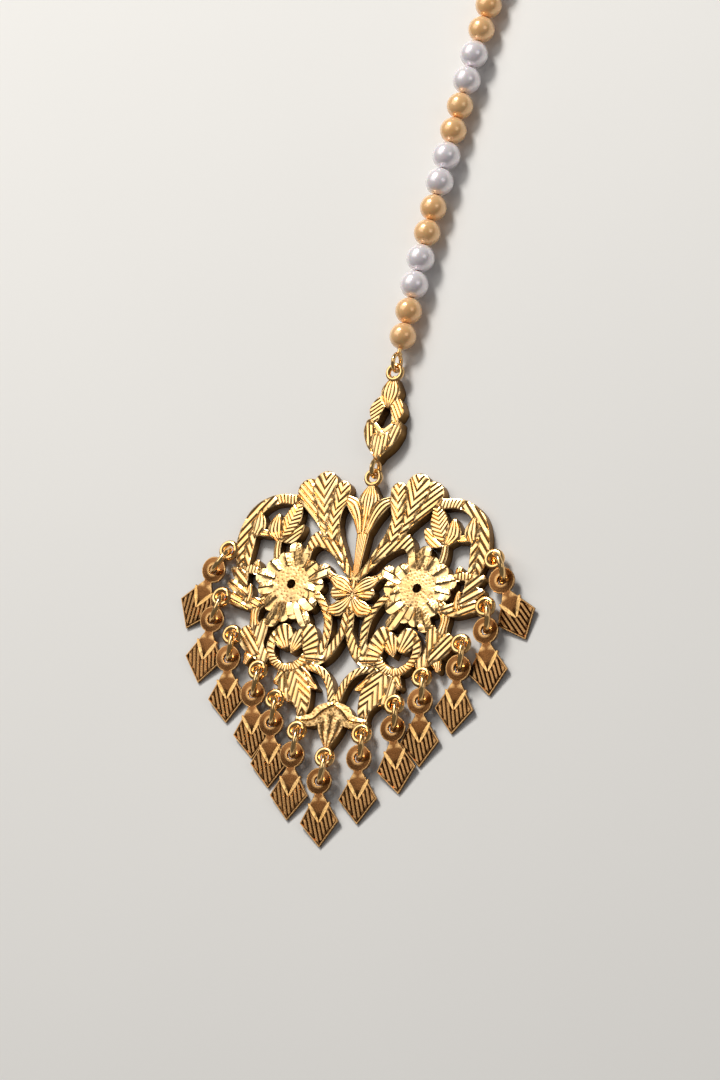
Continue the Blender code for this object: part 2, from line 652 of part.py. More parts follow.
def drop_outline():
    """The drop's edge, counter-clockwise, with the disc at the origin and the point at +Y."""
    radius = DROP_DISC / 2
    half_neck = DROP_NECK / 2
    meet = math.asin(half_neck / radius)
    turns = [math.pi / 2 + meet + (2 * math.pi - 2 * meet) * k / RING_SIDES
             for k in range(RING_SIDES + 1)]
    disc = [Vector((radius * math.cos(t), radius * math.sin(t))) for t in turns]
    waist = math.sqrt(radius * radius - half_neck * half_neck) + DROP_NECK_LENGTH
    corner = Vector((DROP_WIDTH / 2, DROP_WIDEST))
    blunt = DROP_THICKNESS / 4
    blade = [Vector((half_neck, waist)), corner, Vector((blunt, DROP_LENGTH - blunt))]
    other = [Vector((-p.x, p.y)) for p in reversed(blade)]
    return disc + blade + other


def build_drop(name, disc, turn, material):
    edge = drop_outline()
    hole = circle((0, 0), DROP_HOLE / 2, RING_SIDES)
    flat = delaunay_2d_cdt(edge + hole, [], [list(range(len(edge))),
                                             list(range(len(edge), len(edge) + len(hole)))],
                           0, 1e-7)
    bm = bmesh.new()
    half = DROP_THICKNESS / 2
    high = [bm.verts.new((p.x, p.y, half)) for p in flat[0]]
    low = [bm.verts.new((p.x, p.y, -half)) for p in flat[0]]
    sides = {}
    for cell, sources in zip(flat[2], flat[5]):
        if list(sources) != [0]:
            continue
        bm.faces.new([high[i] for i in cell])
        bm.faces.new([low[i] for i in reversed(cell)])
        for pair in sides_of(cell):
            sides.setdefault(frozenset(pair), []).append(pair)
    for pairs in sides.values():
        if len(pairs) == 1:
            a, b = pairs[0]
            bm.faces.new((high[b], high[a], low[a], low[b]))
    tilt = math.asin((disc.z - half) / DROP_LENGTH)
    bm.transform(Matrix.Translation(disc)
                 @ Matrix.Rotation(math.radians(turn - 90), 4, "Z")
                 @ Matrix.Rotation(-tilt, 4, "X"))
    add_object(name, bm, material)


def pearl(radius, bore):
    """A drilled ball along Y, turned from the bore's edge to the bore's edge."""
    start = math.asin(bore / radius)
    bm = bmesh.new()
    turns = [start + (math.pi - 2 * start) * k / PEARL_BANDS for k in range(PEARL_BANDS + 1)]
    profile = [(radius * math.sin(t), -radius * math.cos(t)) for t in turns]
    rows = []
    for out, along in profile:
        rows.append([bm.verts.new((out * math.cos(2 * math.pi * k / PEARL_SIDES), along,
                                   out * math.sin(2 * math.pi * k / PEARL_SIDES)))
                     for k in range(PEARL_SIDES)])
    for one, two in zip(rows, rows[1:] + rows[:1]):
        for k in range(PEARL_SIDES):
            n = (k + 1) % PEARL_SIDES
            bm.faces.new((one[k], one[n], two[n], two[k]))
    return bm


def string_spot(start, lean, along):
    """Where the string is at a length along it, and its direction there, as it bends gently."""
    steps = max(1, round(along / MM))
    spot = start.copy()
    for k in range(steps):
        turn = 90 - lean - STRING_TURN * (k + 0.5) * along / steps / MM
        spot += heading(turn) * along / steps
    return spot, heading(90 - lean - STRING_TURN * along / MM)


def build_string(gold, white, peach, link):
    """Pearls in pairs, peach first, on a wire whose ends are bent into standing eyes."""
    wire_height = (WHITE_PEARL + PEACH_PEARL) / 4
    reach = link_distance(TOP_RADIUS, TOP_WIRE, CONNECTOR_LOOP_HEIGHT, EYE_RADIUS, STRING_WIRE,
                          wire_height)
    first_eye = link + heading(90 - CONNECTOR_LEAN) * reach
    first_eye.z = wire_height
    place = EYE_RADIUS + STRING_WIRE / 2 + EYE_SHANK
    for n in range(1, PEARL_COUNT + 1):
        is_peach = (n - 1) // 2 % 2 == 0
        radius = (PEACH_PEARL if is_peach else WHITE_PEARL) / 2
        flat = radius - math.sqrt(radius ** 2 - (PEARL_BORE / 2) ** 2)
        place += radius - flat + PEARL_GAP / 2
        spot, along = string_spot(first_eye, CONNECTOR_LEAN, place)
        bm = pearl(radius, PEARL_BORE / 2)
        turn = math.atan2(-along.x, along.y)
        bm.transform(Matrix.Translation((spot.x, spot.y, radius))
                     @ Matrix.Rotation(turn, 4, "Z"))
        add_object(f"pearl_{n:02d}", bm, peach if is_peach else white, SMOOTH_EDGE)
        place += radius - flat + PEARL_GAP / 2
    total = place + EYE_SHANK + EYE_RADIUS + STRING_WIRE / 2
    route = eye_points(first_eye, heading(90 - CONNECTOR_LEAN))
    straight = EYE_RADIUS + STRING_WIRE
    for k in range(STRING_BENDS + 1):
        reach = straight + (total - 2 * straight) * k / STRING_BENDS
        route.append(string_spot(first_eye, CONNECTOR_LEAN, reach)[0])
    last_eye, along = string_spot(first_eye, CONNECTOR_LEAN, total)
    route += eye_points(last_eye, -along)[::-1]
    add_object("pearl_wire", tube(route, STRING_WIRE / 2, WIRE_SIDES), gold, SMOOTH_EDGE)
    return last_eye, along


def eye_points(centre, along):
    """An eye that starts beside its wire and ends on it, seen from the side."""
    gap = 2 * math.asin(STRING_WIRE * 0.75 / EYE_RADIUS)
    points = []
    for k in range(RING_SIDES):
        angle = gap + (2 * math.pi - gap) * k / RING_SIDES
        points.append(centre + EYE_RADIUS * (along * math.cos(angle) + UP * math.sin(angle)))
    return points + [centre + along * EYE_RADIUS]


def build_hook(gold, eye, along):
    """A plain wire hook, flat, that comes down from its eye to the surface."""
    reach = link_distance(HOOK_EYE_RADIUS, HOOK_WIRE, eye.z, EYE_RADIUS, STRING_WIRE, eye.z)
    centre = eye + along * reach
    across = Vector((along.y, -along.x, 0))
    gap = 2 * math.asin(HOOK_WIRE * 0.7 / HOOK_EYE_RADIUS)
    route = []
    for k in range(RING_SIDES):
        angle = gap + (2 * math.pi - gap) * k / RING_SIDES
        route.append(centre + HOOK_EYE_RADIUS * (along * math.cos(angle)
                                                 + across * math.sin(angle)))
    for k in range(HOOK_BENDS // 2):
        route.append(centre + along * (HOOK_EYE_RADIUS + HOOK_SHANK * k / (HOOK_BENDS / 2 - 1)))
    turn = centre + along * (HOOK_EYE_RADIUS + HOOK_SHANK) + across * HOOK_BEND
    for k in range(1, HOOK_BENDS):
        angle = math.pi * k / HOOK_BENDS
        route.append(turn + HOOK_BEND * (-across * math.cos(angle) + along * math.sin(angle)))
    for k in range(3):
        route.append(turn + across * HOOK_BEND - along * HOOK_RETURN * k / 2)
    run = HOOK_SHANK + HOOK_BEND
    for point in route:
        forward = (point - centre).dot(along) - HOOK_EYE_RADIUS
        share = min(max(forward / run, 0), 1)
        point.z = eye.z + (HOOK_WIRE / 2 - eye.z) * share
    add_object("hair_hook", tube(route, HOOK_WIRE / 2, HOOK_SIDES), gold, SMOOTH_EDGE)


def main():
    clear_scene()
    gold = make_material("gold", (0.95, 0.72, 0.33), 1.0, 0.28)
    copper = make_material("drop_gold", (0.70, 0.44, 0.20), 1.0, 0.35)
    white = make_material("white_pearl", (0.88, 0.85, 0.86), 0.0, 0.25)
    peach = make_material("peach_pearl", (0.93, 0.66, 0.42), 0.0, 0.25)
    build_heart(gold)
    build_hangers(gold, copper)
    reach = link_distance(TOP_RADIUS, TOP_WIRE, LOOP_HEIGHT, STANDING_RADIUS, STANDING_WIRE,
                          LOOP_HEIGHT)
    along = heading(90 - CONNECTOR_LEAN)
    top = loop_centre(*TOP_LOOP, TOP_RADIUS, TOP_WIRE)
    link = build_connector(gold, top + along * reach, along)
    eye, along = build_string(gold, white, peach, link)
    build_hook(gold, eye, along)


if __name__ == "__main__":
    main()
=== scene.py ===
"""Looks of the maang tikka: engraved gold, pearls, a pale floor, soft light and the camera."""
import math

import bmesh
import bpy
import numpy as np
from mathutils import Matrix, Vector
from mathutils.geometry import delaunay_2d_cdt


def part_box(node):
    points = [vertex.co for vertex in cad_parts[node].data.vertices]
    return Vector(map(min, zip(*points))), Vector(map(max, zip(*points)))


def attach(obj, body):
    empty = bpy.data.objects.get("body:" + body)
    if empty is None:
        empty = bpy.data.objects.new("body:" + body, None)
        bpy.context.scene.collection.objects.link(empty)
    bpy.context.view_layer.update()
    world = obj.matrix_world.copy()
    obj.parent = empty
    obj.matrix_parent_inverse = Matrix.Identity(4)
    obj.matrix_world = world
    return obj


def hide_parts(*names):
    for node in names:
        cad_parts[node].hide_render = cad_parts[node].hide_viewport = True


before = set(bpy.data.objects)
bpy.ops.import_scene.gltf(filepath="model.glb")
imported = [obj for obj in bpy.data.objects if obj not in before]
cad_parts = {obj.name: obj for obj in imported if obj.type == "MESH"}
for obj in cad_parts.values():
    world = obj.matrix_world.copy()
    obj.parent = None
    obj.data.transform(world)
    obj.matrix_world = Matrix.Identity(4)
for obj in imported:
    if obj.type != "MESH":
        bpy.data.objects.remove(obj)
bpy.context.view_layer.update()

MM = 0.001

# Sizes of the solids, as the model's source has them
HEART_WIDTH = 39.1 * MM
HEART_SQUARES = 39.1  # squares of the drawing grid across the heart
SQUARE = HEART_WIDTH / HEART_SQUARES
PLATE_EDGE = 1.6 * MM
PLATE_CROWN = 0.06 * MM
PLATE_DOME = 0.3 * MM
LOOP_RADIUS = 1.08 * MM
LOOP_WIRE = 0.86 * MM
TOP_RADIUS = 1.02 * MM
TOP_WIRE = 0.74 * MM
LOOP_HEIGHT = 1.5 * MM
LOOP_SEAT = 0.5 * MM
DROP_THICKNESS = 0.4 * MM
DROP_DISC = 3.6 * MM
DROP_HOLE = 1.44 * MM
DROP_LENGTH = 9.0 * MM
CONNECTOR_EDGE = 2.0 * MM
CONNECTOR_CROWN = 0.1 * MM
CONNECTOR_LENGTH = 12.2 * MM
CONNECTOR_LEAN = 2.5  # degrees from +Y towards +X
CONNECTOR_LOOP_HEIGHT = 1.9 * MM
STANDING_RADIUS = 1.15 * MM
STANDING_WIRE = 0.7 * MM
LINK_GAP = 0.1 * MM
STRING_WIRE = 0.6 * MM
EYE_RADIUS = 1.2 * MM
PEARL_BORE = 0.9 * MM
HOOK_WIRE = 0.9 * MM
HOOK_EYE_RADIUS = 1.35 * MM
HOOK_SHANK = 8.0 * MM
HOOK_BEND = 1.9 * MM
HOOK_RETURN = 5.5 * MM
low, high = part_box("pearl_wire")
WIRE_START, WIRE_END = low[1], high[1]
WIRE_HEIGHT = (low[2] + high[2]) / 2

# Engraving
CUT_DEPTH = 0.14 * MM
GROOVE = 0.5  # a groove's width, as a share of the pitch
LONE_GROOVE = 0.2  # half the width of a leaf's only groove, as a share of its half width
FAN_START = 0.9  # squares from a fan's middle to where its cuts begin
FACET = 0.85  # the width of a split lobe's polished face, as a share of its half width
FACET_LOW = 0.3  # how deep that face starts at the groove, as a share of a cut
FACET_HIGH = -0.8  # and how far it rises at its outer edge
DROP_CUT_DEPTH = 0.11 * MM
CHAMFER = 0.07 * MM  # of the leaves' outer edge
EDGE_CUT = 0.15  # how deep the metal lies along an opening, as a share of a cut
CREASE_CUT = 0.45  # and where one leaf lies on another; there the gold is also a little darker, as painted shade
PLAIN_CUT = 0.5  # and between the cuts
OUTLINE = -1.0  # stands for a cut's depth on the outline
FOOT_SHADE = 0.8  # and under it, on the back, where it only darkens the wall's foot and the back as painted shade
MOTIF_STEP = 0.55  # squares between the points of a motif's edge
LINE_STEP = 0.11  # squares between the points that a cut is tried at
KEPT_POINTS = 4  # every so many of them stays
CUT_MARGIN = 0.07  # squares between a cut's end and the leaf's edge
NEARBY = 0.2  # squares round a leaf, within which it can hide a cut
RUN_ON = 3  # steps that a midrib goes on for, past its ends, under slanted cuts
SLANT_REACH = 2.2  # how far slanted cuts go, in half widths
CLOSEST_CUTS = 0.03  # squares, under which cuts that run together stop
END_PARTS = 10
NARROW_END = 0.3
SMALLEST_HALF = 0.1
FULL_CROWN = 0.9
SMALLEST_GAP = 0.3
WELD = 0.035
EDGE_SNAP = 1e-5  # squares, under which points are one in the plan of the edges
CUT_SNAP = 1e-6  # squares, in the plan of the cuts
BACK_SNAP = 1e-9  # metres, in the plan of the back
GAP = -1  # stands for a leaf's number where there is none
THIN = 0.001  # squares, half the width of a flat leaf's point
TINY = 1e-12  # keeps a division from failing
DECIMALS = 7  # of a metre, to which the corners of a solid are told apart

# Fineness of the round pieces
WIRE_METAL = 3  # the wire's place among a plate's materials
WIRE_SIDES = 12
RING_SIDES = 40
PEARL_SIDES = 40
PEARL_BANDS = 24
PEARL_LIP = [(0.07, 0.05), (0.09, 0.3)]  # the bore's lip, in millimetres inwards and down
COIL_TURNS = 3  # of the thin wire wound round an eye's neck
COIL_PARTS = 14  # points in a turn
COIL_RADIUS = 0.36 * MM
COIL_WIRE = 0.13 * MM  # half its thickness
COIL_SIDES = 8
COIL_LENGTH = 0.5  # as a share of the string's wire
COIL_SEAT = 0.2  # how far into the eye it starts, as the same share
HOOK_GAP = 0.7  # half the opening of the hook's eye, as a share of its wire
SHANK_PARTS = 9
BEND_PARTS = 20
RETURN_PARTS = 5
PLATE_SMOOTH = 28  # degrees, under which an edge is shaded smooth
DROP_SMOOTH = 15
ROUND_SMOOTH = 50

# A motif: how it is cut, and its rows (x, y, half_width) in squares. A cut is along the motif, a
# chevron or an oblique line at an angle to its midrib, or a hatch at an angle to +X, with its pitch in
# squares. A fan's cuts run out from the middle of the eye, at a pitch in degrees. A plain motif has
# its midrib alone, and a stippled one is punched with dots. A split lobe has dots on its left side
# with 1 and on its right side with -1, and a polished face on the other.
EYE_FAN = ("fan", 12, 8.1, -9.2)
MIDDLE_MOTIFS = {
    "spine": (("along", 0.56), [
        (0, 15.7, 0.45), (0, 14.9, 1), (0, 13.6, 1.6), (0, 12, 1.15), (0, 10.3, 1), (0, 7.5, 0.75),
        (0, 4.5, 0.5), (0, 1.5, 0.45)]),
    "star_middle": (("along", 0.6), [(0, 1.6, 0.4), (0, 0, 0.75), (0, -1.4, 0.5), (0, -3, 0.4)]),
    "finial": (("stipple", 1.3), [
        (0, -15.9, 0.75), (0, -17.2, 1.8), (0, -18.9, 1.85), (0, -20.4, 1.25), (0, -21.8, 0.4)]),
}
SIDE_MOTIFS = {
    "shoulder": (("along", 0.55), [
        (0.6, 9, 0.35), (1.25, 11.2, 0.75), (2.05, 12.7, 0.95), (2.9, 13.35, 0.75), (4, 13.7, 0.6)]),
    "lower_stem": (("oblique", 0.66, 142), [
        (0.3, -1.8, 0.45), (0.4, -3.8, 0.5), (0.5, -5.5, 0.55), (1.05, -6.7, 0.62), (1.7, -8, 0.66),
        (2.6, -9.1, 0.7), (3.8, -9.9, 0.65)]),
    "side_stem": (("oblique", 0.68, 143), [
        (6.6, 0.2, 0.55), (5.2, -0.5, 0.52), (4.3, -1.4, 0.5), (3.55, -2.6, 0.55), (3, -3.9, 0.58),
        (2.85, -5.4, 0.54), (2.95, -6.9, 0.5), (3.5, -8.4, 0.7)]),
    "lower_ribbon": (("oblique", 0.5, 34), [
        (5.2, -10.5, 0.5), (3.3, -10.95, 0.5), (2.1, -11.65, 0.52), (1.3, -12.7, 0.55),
        (0.8, -13.9, 0.52), (0.5, -15.2, 0.5), (0.4, -16.2, 0.4)]),
    "rim_top": (("oblique", 0.5, 75), [
        (10.4, 13.35, 0.85), (11.6, 13.4, 0.7), (13.2, 13.52, 0.68), (14.8, 13.2, 0.7)]),
    "rim": (("hatch", 0.85, 128), [
        (14.8, 13.2, 0.7), (16.2, 12.35, 0.8), (17.3, 11, 0.92), (18.05, 9, 0.95), (18.3, 7, 1),
        (18.2, 5.2, 0.9), (17.8, 3.6, 0.75)]),
    "inner_rim": (("hatch", 0.8, 60), [
        (17, 8.2, 0.5), (17.15, 6.6, 0.55), (17.25, 4.6, 0.5), (17.1, 2.9, 0.45), (17, 1.6, 0.4)]),
    "rim_leaf_foot": (("along", 0.55), [(14.6, 8.35, 0.4), (15.5, 8.5, 0.52), (16.6, 8.9, 0.7)]),
    "rim_leaf": (("along", 0.58), [
        (16.35, 11.2, 0.35), (16.3, 10.3, 0.85), (16.3, 9.3, 1), (16.5, 8.6, 0.65)]),
    "ivy_stem": (("along", 0.5), [
        (12.75, 7.9, 0.42), (12.8, 6.2, 0.46), (12.6, 5, 0.5), (12.3, 3.8, 0.5)]),
    "ivy_left": (("hatch", 0.5, -38), [
        (9.45, 9.55, 0.28), (10.2, 8.75, 0.9), (11.2, 8.05, 1.1), (12.3, 7.8, 0.6)]),
    "ivy_top": (("chevron", 0.5, 50), [
        (12.5, 7.9, 0.55), (12, 8.9, 1.1), (11.4, 10.2, 1.3), (10.95, 11.6, 1.1), (10.6, 12.6, 0.6)]),
    "ivy_right": (("along", 0.58), [
        (13.5, 10.9, 0.4), (13.65, 9.9, 0.95), (13.6, 8.8, 1.15), (13.1, 7.9, 0.55)]),
    "palmette_stem": (("oblique", 0.78, 30), [
        (0.5, 2.3, 0.4), (1.6, 3.7, 0.6), (2.55, 5.05, 0.75), (3.4, 6.4, 0.95), (4.2, 8, 0.95),
        (4.7, 9.6, 0.95)]),
    "scroll": (("hatch", 0.7, 50), [
        (2.4, 4.7, 0.45), (3.9, 6.4, 0.85), (5, 7.4, 1.15), (6.15, 7.85, 1.2), (7.15, 7.35, 0.95),
        (7.75, 6.2, 0.5), (7.95, 4.8, 0.4)]),
    "palmette_outer": (("hatch", 0.7, 42), [
        (6.4, 9.9, 0.6), (7.6, 11.8, 1.1), (8.8, 13.5, 1.5), (9.45, 14.8, 1.72)]),
    "palmette_middle": (("chevron", 0.72, 33), [
        (5.6, 8.6, 0.7), (6.2, 10.4, 0.95), (6.65, 12.6, 1.25), (7.05, 14.6, 1.7), (7.1, 15.9, 1.78)]),
    "palmette_inner": (("chevron", 0.66, 34), [
        (4.6, 8.3, 0.75), (4.8, 9.8, 0.95), (4.85, 11.6, 0.95), (4.5, 13.4, 1.15),
        (4.35, 15.1, 1.22)]),
    "star_link": (("along", 0.4), [(2.6, 1.9, 0.6), (3.5, 2.35, 0.45), (4.4, 2.9, 0.5)]),
    "star_low": (("along", 0.55), [
        (0.35, -0.7, 0.4), (1, -1.6, 0.85), (1.8, -2.2, 1.1), (2.65, -2.35, 0.75)]),
    "star_side": (("along", 0.55), [(0.4, 0, 0.35), (1.4, 0.15, 0.75), (2.3, 0.15, 1)]),
    "star_high": (("along", 0.55), [
        (0.3, 0.35, 0.35), (1.4, 1.1, 0.9), (2.4, 1.55, 1), (3.2, 2, 0.5)]),
    "bud": (("along", 0.35), [(15.4, 2.9, 0.6), (15.5, 3.9, 0.52)]),
    "bud_foot": (("hatch", 0.5, 95), [(14.8, 2.8, 0.4), (16, 3.1, 0.6), (17.2, 3, 0.5)]),
    "side_link": (("along", 0.5), [
        (12.6, -0.9, 0.85), (13.8, -1.6, 0.8), (14.5, -2.7, 0.68), (14.45, -4, 0.55),
        (14.2, -5.4, 0.85)]),
    "side_leaf_low": (("hatch", 0.8, 24), [
        (14.4, -1.8, 0.7), (15.6, -1.75, 1), (16.9, -1.4, 1.05), (18.3, -1.15, 0.9)]),
    "side_leaf_tip": (("along", 0.4), [(15.95, 0.75, 0.22), (15.9, -0.4, 0.45), (16.1, -1.3, 0.6)]),
    "side_leaf_mid": (("hatch", 0.78, 32), [
        (16.5, -0.6, 0.5), (17.4, 0.3, 0.9), (18.5, 0.85, 0.85), (19.2, 1, 0.4)]),
    "side_leaf_high": (("hatch", 0.78, 42), [
        (16.95, 0.9, 0.45), (17.7, 2, 0.85), (18.5, 2.7, 0.72), (19.05, 3, 0.35)]),
    "lower_leaf_tip": (("along", 0.5), [(14.65, -10.3, 0.35), (14.3, -9.3, 0.7), (13.7, -8.2, 0.9)]),
    "lower_leaf_inner": (("hatch", 0.72, 97), [
        (12.75, -4.75, 0.7), (13.15, -5.7, 1), (13.4, -7.3, 1), (13, -8.7, 1.05), (12, -9.6, 0.8)]),
    "lower_leaf_outer": (("hatch", 0.72, 50), [
        (15.35, -5.95, 0.8), (15.2, -6.8, 1.15), (14.3, -8, 1.05), (13.4, -9, 0.6)]),
    "serrated_right": (("along", 0.55), [(7.6, -11.2, 1.1), (8.5, -12.3, 1.15), (9.3, -12.9, 0.45)]),
    "serrated_left": (("along", 0.5), [
        (6.2, -11.4, 0.9), (5, -12.4, 0.95), (4, -13.15, 0.6), (3.05, -13.6, 0.2)]),
    "serrated_lobe": (("hatch", 0.66, 82), [
        (7.1, -11.8, 1.2), (7.6, -13.2, 1.4), (7.5, -14.3, 1.1), (7, -15.1, 0.65)]),
    "serrated_main": (("chevron", 0.72, 30), [
        (6.9, -11, 1), (6.2, -12.7, 1.5), (5.4, -14.5, 1.65), (4.8, -16, 1.1), (4.65, -17.1, 0.75),
        (4.8, -18.1, 0.55)]),
    "finial_wing": (("stipple", 2.4), [
        (0.5, -16.2, 0.7), (1.6, -17, 1.15), (2.7, -18.05, 0.95), (4, -18.25, 0.72),
        (5, -18.2, 0.45)]),
    "eye_foot": (EYE_FAN, [(3, -9.4, 0.45), (4.3, -9.6, 0.75), (5.6, -9.5, 0.75)]),
    "eye_ribbon": (EYE_FAN, [
        (10, -5.5, 0.6), (10.9, -6.7, 0.62), (11.15, -7.9, 0.58), (10.9, -9, 0.55),
        (10.25, -9.95, 0.55), (9.3, -10.7, 0.55), (8.1, -10.95, 0.55), (6.9, -10.6, 0.6),
        (5.8, -9.9, 0.7)]),
    "eye_right": (EYE_FAN, [(9.2, -6.85, 1.35), (9.45, -5.95, 1.3)]),
    "eye_beak": (EYE_FAN, [
        (7.75, -8.6, 0.2), (7.3, -7.6, 0.92), (6.95, -6.6, 1.12), (6.2, -5.9, 0.9)]),
    "eye_left": (EYE_FAN, [(4.6, -9.2, 0.9), (4.95, -8, 1.15), (5.15, -6.7, 1.2), (5.6, -5.6, 1)]),
}
# The flower: each lobe's direction in degrees, reach and half width, in squares
FLOWER = (9.62, 1.1)
FLOWER_EYE = 0.7
FLOWER_DISC = 2.7
FLOWER_LEVEL = 0.6
FLOWER_LOBES = [(181, 4.95, 1.15), (156, 6.1, 0.98), (137, 4.6, 1.2), (104, 5.35, 1.05),
                (87, 6.1, 0.95), (66, 4.95, 1.15), (38, 5.1, 1.2), (12, 5.8, 1.15),
                (-10, 5.1, 1.05), (-47, 4.95, 1.2), (-69, 6.6, 1), (-84, 5.5, 0.95),
                (-106, 5.2, 1.15), (-119, 6.8, 0.95), (-140, 5.3, 1.2), (-162, 4.1, 1.2)]
LOBE_SHAPE = [(0.25, 0.55), (0.65, 0.95), (1, 1)]  # its rows, in shares of reach and width

# Soldered loops, the middle one and those on the right: the place on the heart's edge in squares,
# and the loop's direction from there
RIGHT_LOOPS = [(0, -22.3, -90), (4.7, -18.8, -77), (8.5, -14.6, -55), (12.4, -10.4, -85),
               (16.45, -6.5, 0), (19.15, -1.1, 0), (19.3, 5.7, 0)]
LOOPS = [(-x, y, 180 - turn) for x, y, turn in RIGHT_LOOPS[:0:-1]] + RIGHT_LOOPS
TOP_LOOP = (0, 16.05, 90)

# The connector's motifs, in millimetres from its lower point: the cut, that of the mirrored twin
# if it has one, and the rows
CONNECTOR_MOTIFS = {
    "shield": (("hatch", 0.56, 76), ("hatch", 0.56, 104), [
        (0.3, 1.2, 0.5), (1.1, 2.8, 1), (1.9, 4.6, 0.95), (2.2, 5.5, 0.5)]),
    "foot": (("hatch", 0.56, 90), None, [(0, 0.2, 0.3), (0, 1.2, 0.8), (0, 2.6, 1.4), (0, 3.6, 1.2)]),
    "band": (("plain", 0), ("plain", 0), [(-0.1, 3.95, 0.3), (1, 5, 0.32), (2, 6, 0.2)]),
    "leaf": (("hatch", 0.5, 122), ("hatch", 0.5, 40), [
        (1.5, 6.1, 0.5), (1.65, 7.3, 0.95), (1.1, 8.6, 0.85), (0.4, 9.3, 0.5)]),
    "head": (("along", 0.62), None, [
        (0, 8.4, 0.55), (0, 9.6, 1.3), (0, 10.8, 1.3), (0, 12, 0.45)]),
}
CONNECTOR_WINDOW = [(0, 4.65, 0.02), (0, 5.95, 1.05), (0, 7.25, 0.02)]

# The drop's motifs, in millimetres from its hole's centre towards its point
DROP_BLADE = [(0, 1.2, 0.6), (0, 1.95, 0.6), (0, 5.6, 2.8), (0, 8.9, 0.05)]
DROP_FIELD = [(0, 2.1, 0.5), (0, 5.6, 2.64), (0, 8.72, 0.05)]
DROP_NECK_FACE = [(0, 1.9, 0.42), (0, 3, 1.1), (0, 5.3, 0.06)]
DROP_BORDER = 0.13
DROP_RIDGE = -0.4  # the field's ridges stand a little proud
DROP_GLINT = [(1.5, 3.05, 0.1), (1.05, 3.85, 0.25), (0.5, 4.8, 0.22), (0.12, 5.6, 0.08)]
GLINT_STEP = 0.3
DROP_COLLAR = 1.15
DROP_COLLAR_RISE = 0.07 * MM
DROP_HATCH = (0.6, 102)


# Flat outlines

def smooth_rows(rows, step):
    """Points (x, y, half_width) of a smooth curve through the rows, about a step apart."""
    points = np.array(rows, float)
    ends = np.vstack([2 * points[0] - points[1], points, 2 * points[-1] - points[-2]])
    out = []
    for a, b, c, d in zip(ends, ends[1:], ends[2:], ends[3:]):
        parts = max(1, round(np.hypot(*(c - b)[:2]) / step))
        for t in np.arange(parts) / parts:
            out.append(0.5 * (2 * b + (c - a) * t + (2 * a - 5 * b + 4 * c - d) * t * t
                              + (3 * b - a - 3 * c + d) * t ** 3))
    return np.array(out + [points[-1]])


def straight_rows(rows, step):
    points = np.array(rows, float)
    out = []
    for a, b in zip(points, points[1:]):
        parts = max(1, round(np.hypot(*(b - a)[:2]) / step))
        out += [a + (b - a) * k / parts for k in range(parts)]
    return np.array(out + [points[-1]])


def left_of(path):
    run = np.gradient(path[:, :2], axis=0)
    run /= np.linalg.norm(run, axis=1)[:, None]
    return np.column_stack([-run[:, 1], run[:, 0]])


def half_turn(centre, start, radius):
    angle = math.atan2(start[1], start[0])
    parts = END_PARTS if radius > NARROW_END else 2
    turns = angle + np.pi * np.arange(1, parts) / parts
    return centre + radius * np.column_stack([np.cos(turns), np.sin(turns)])


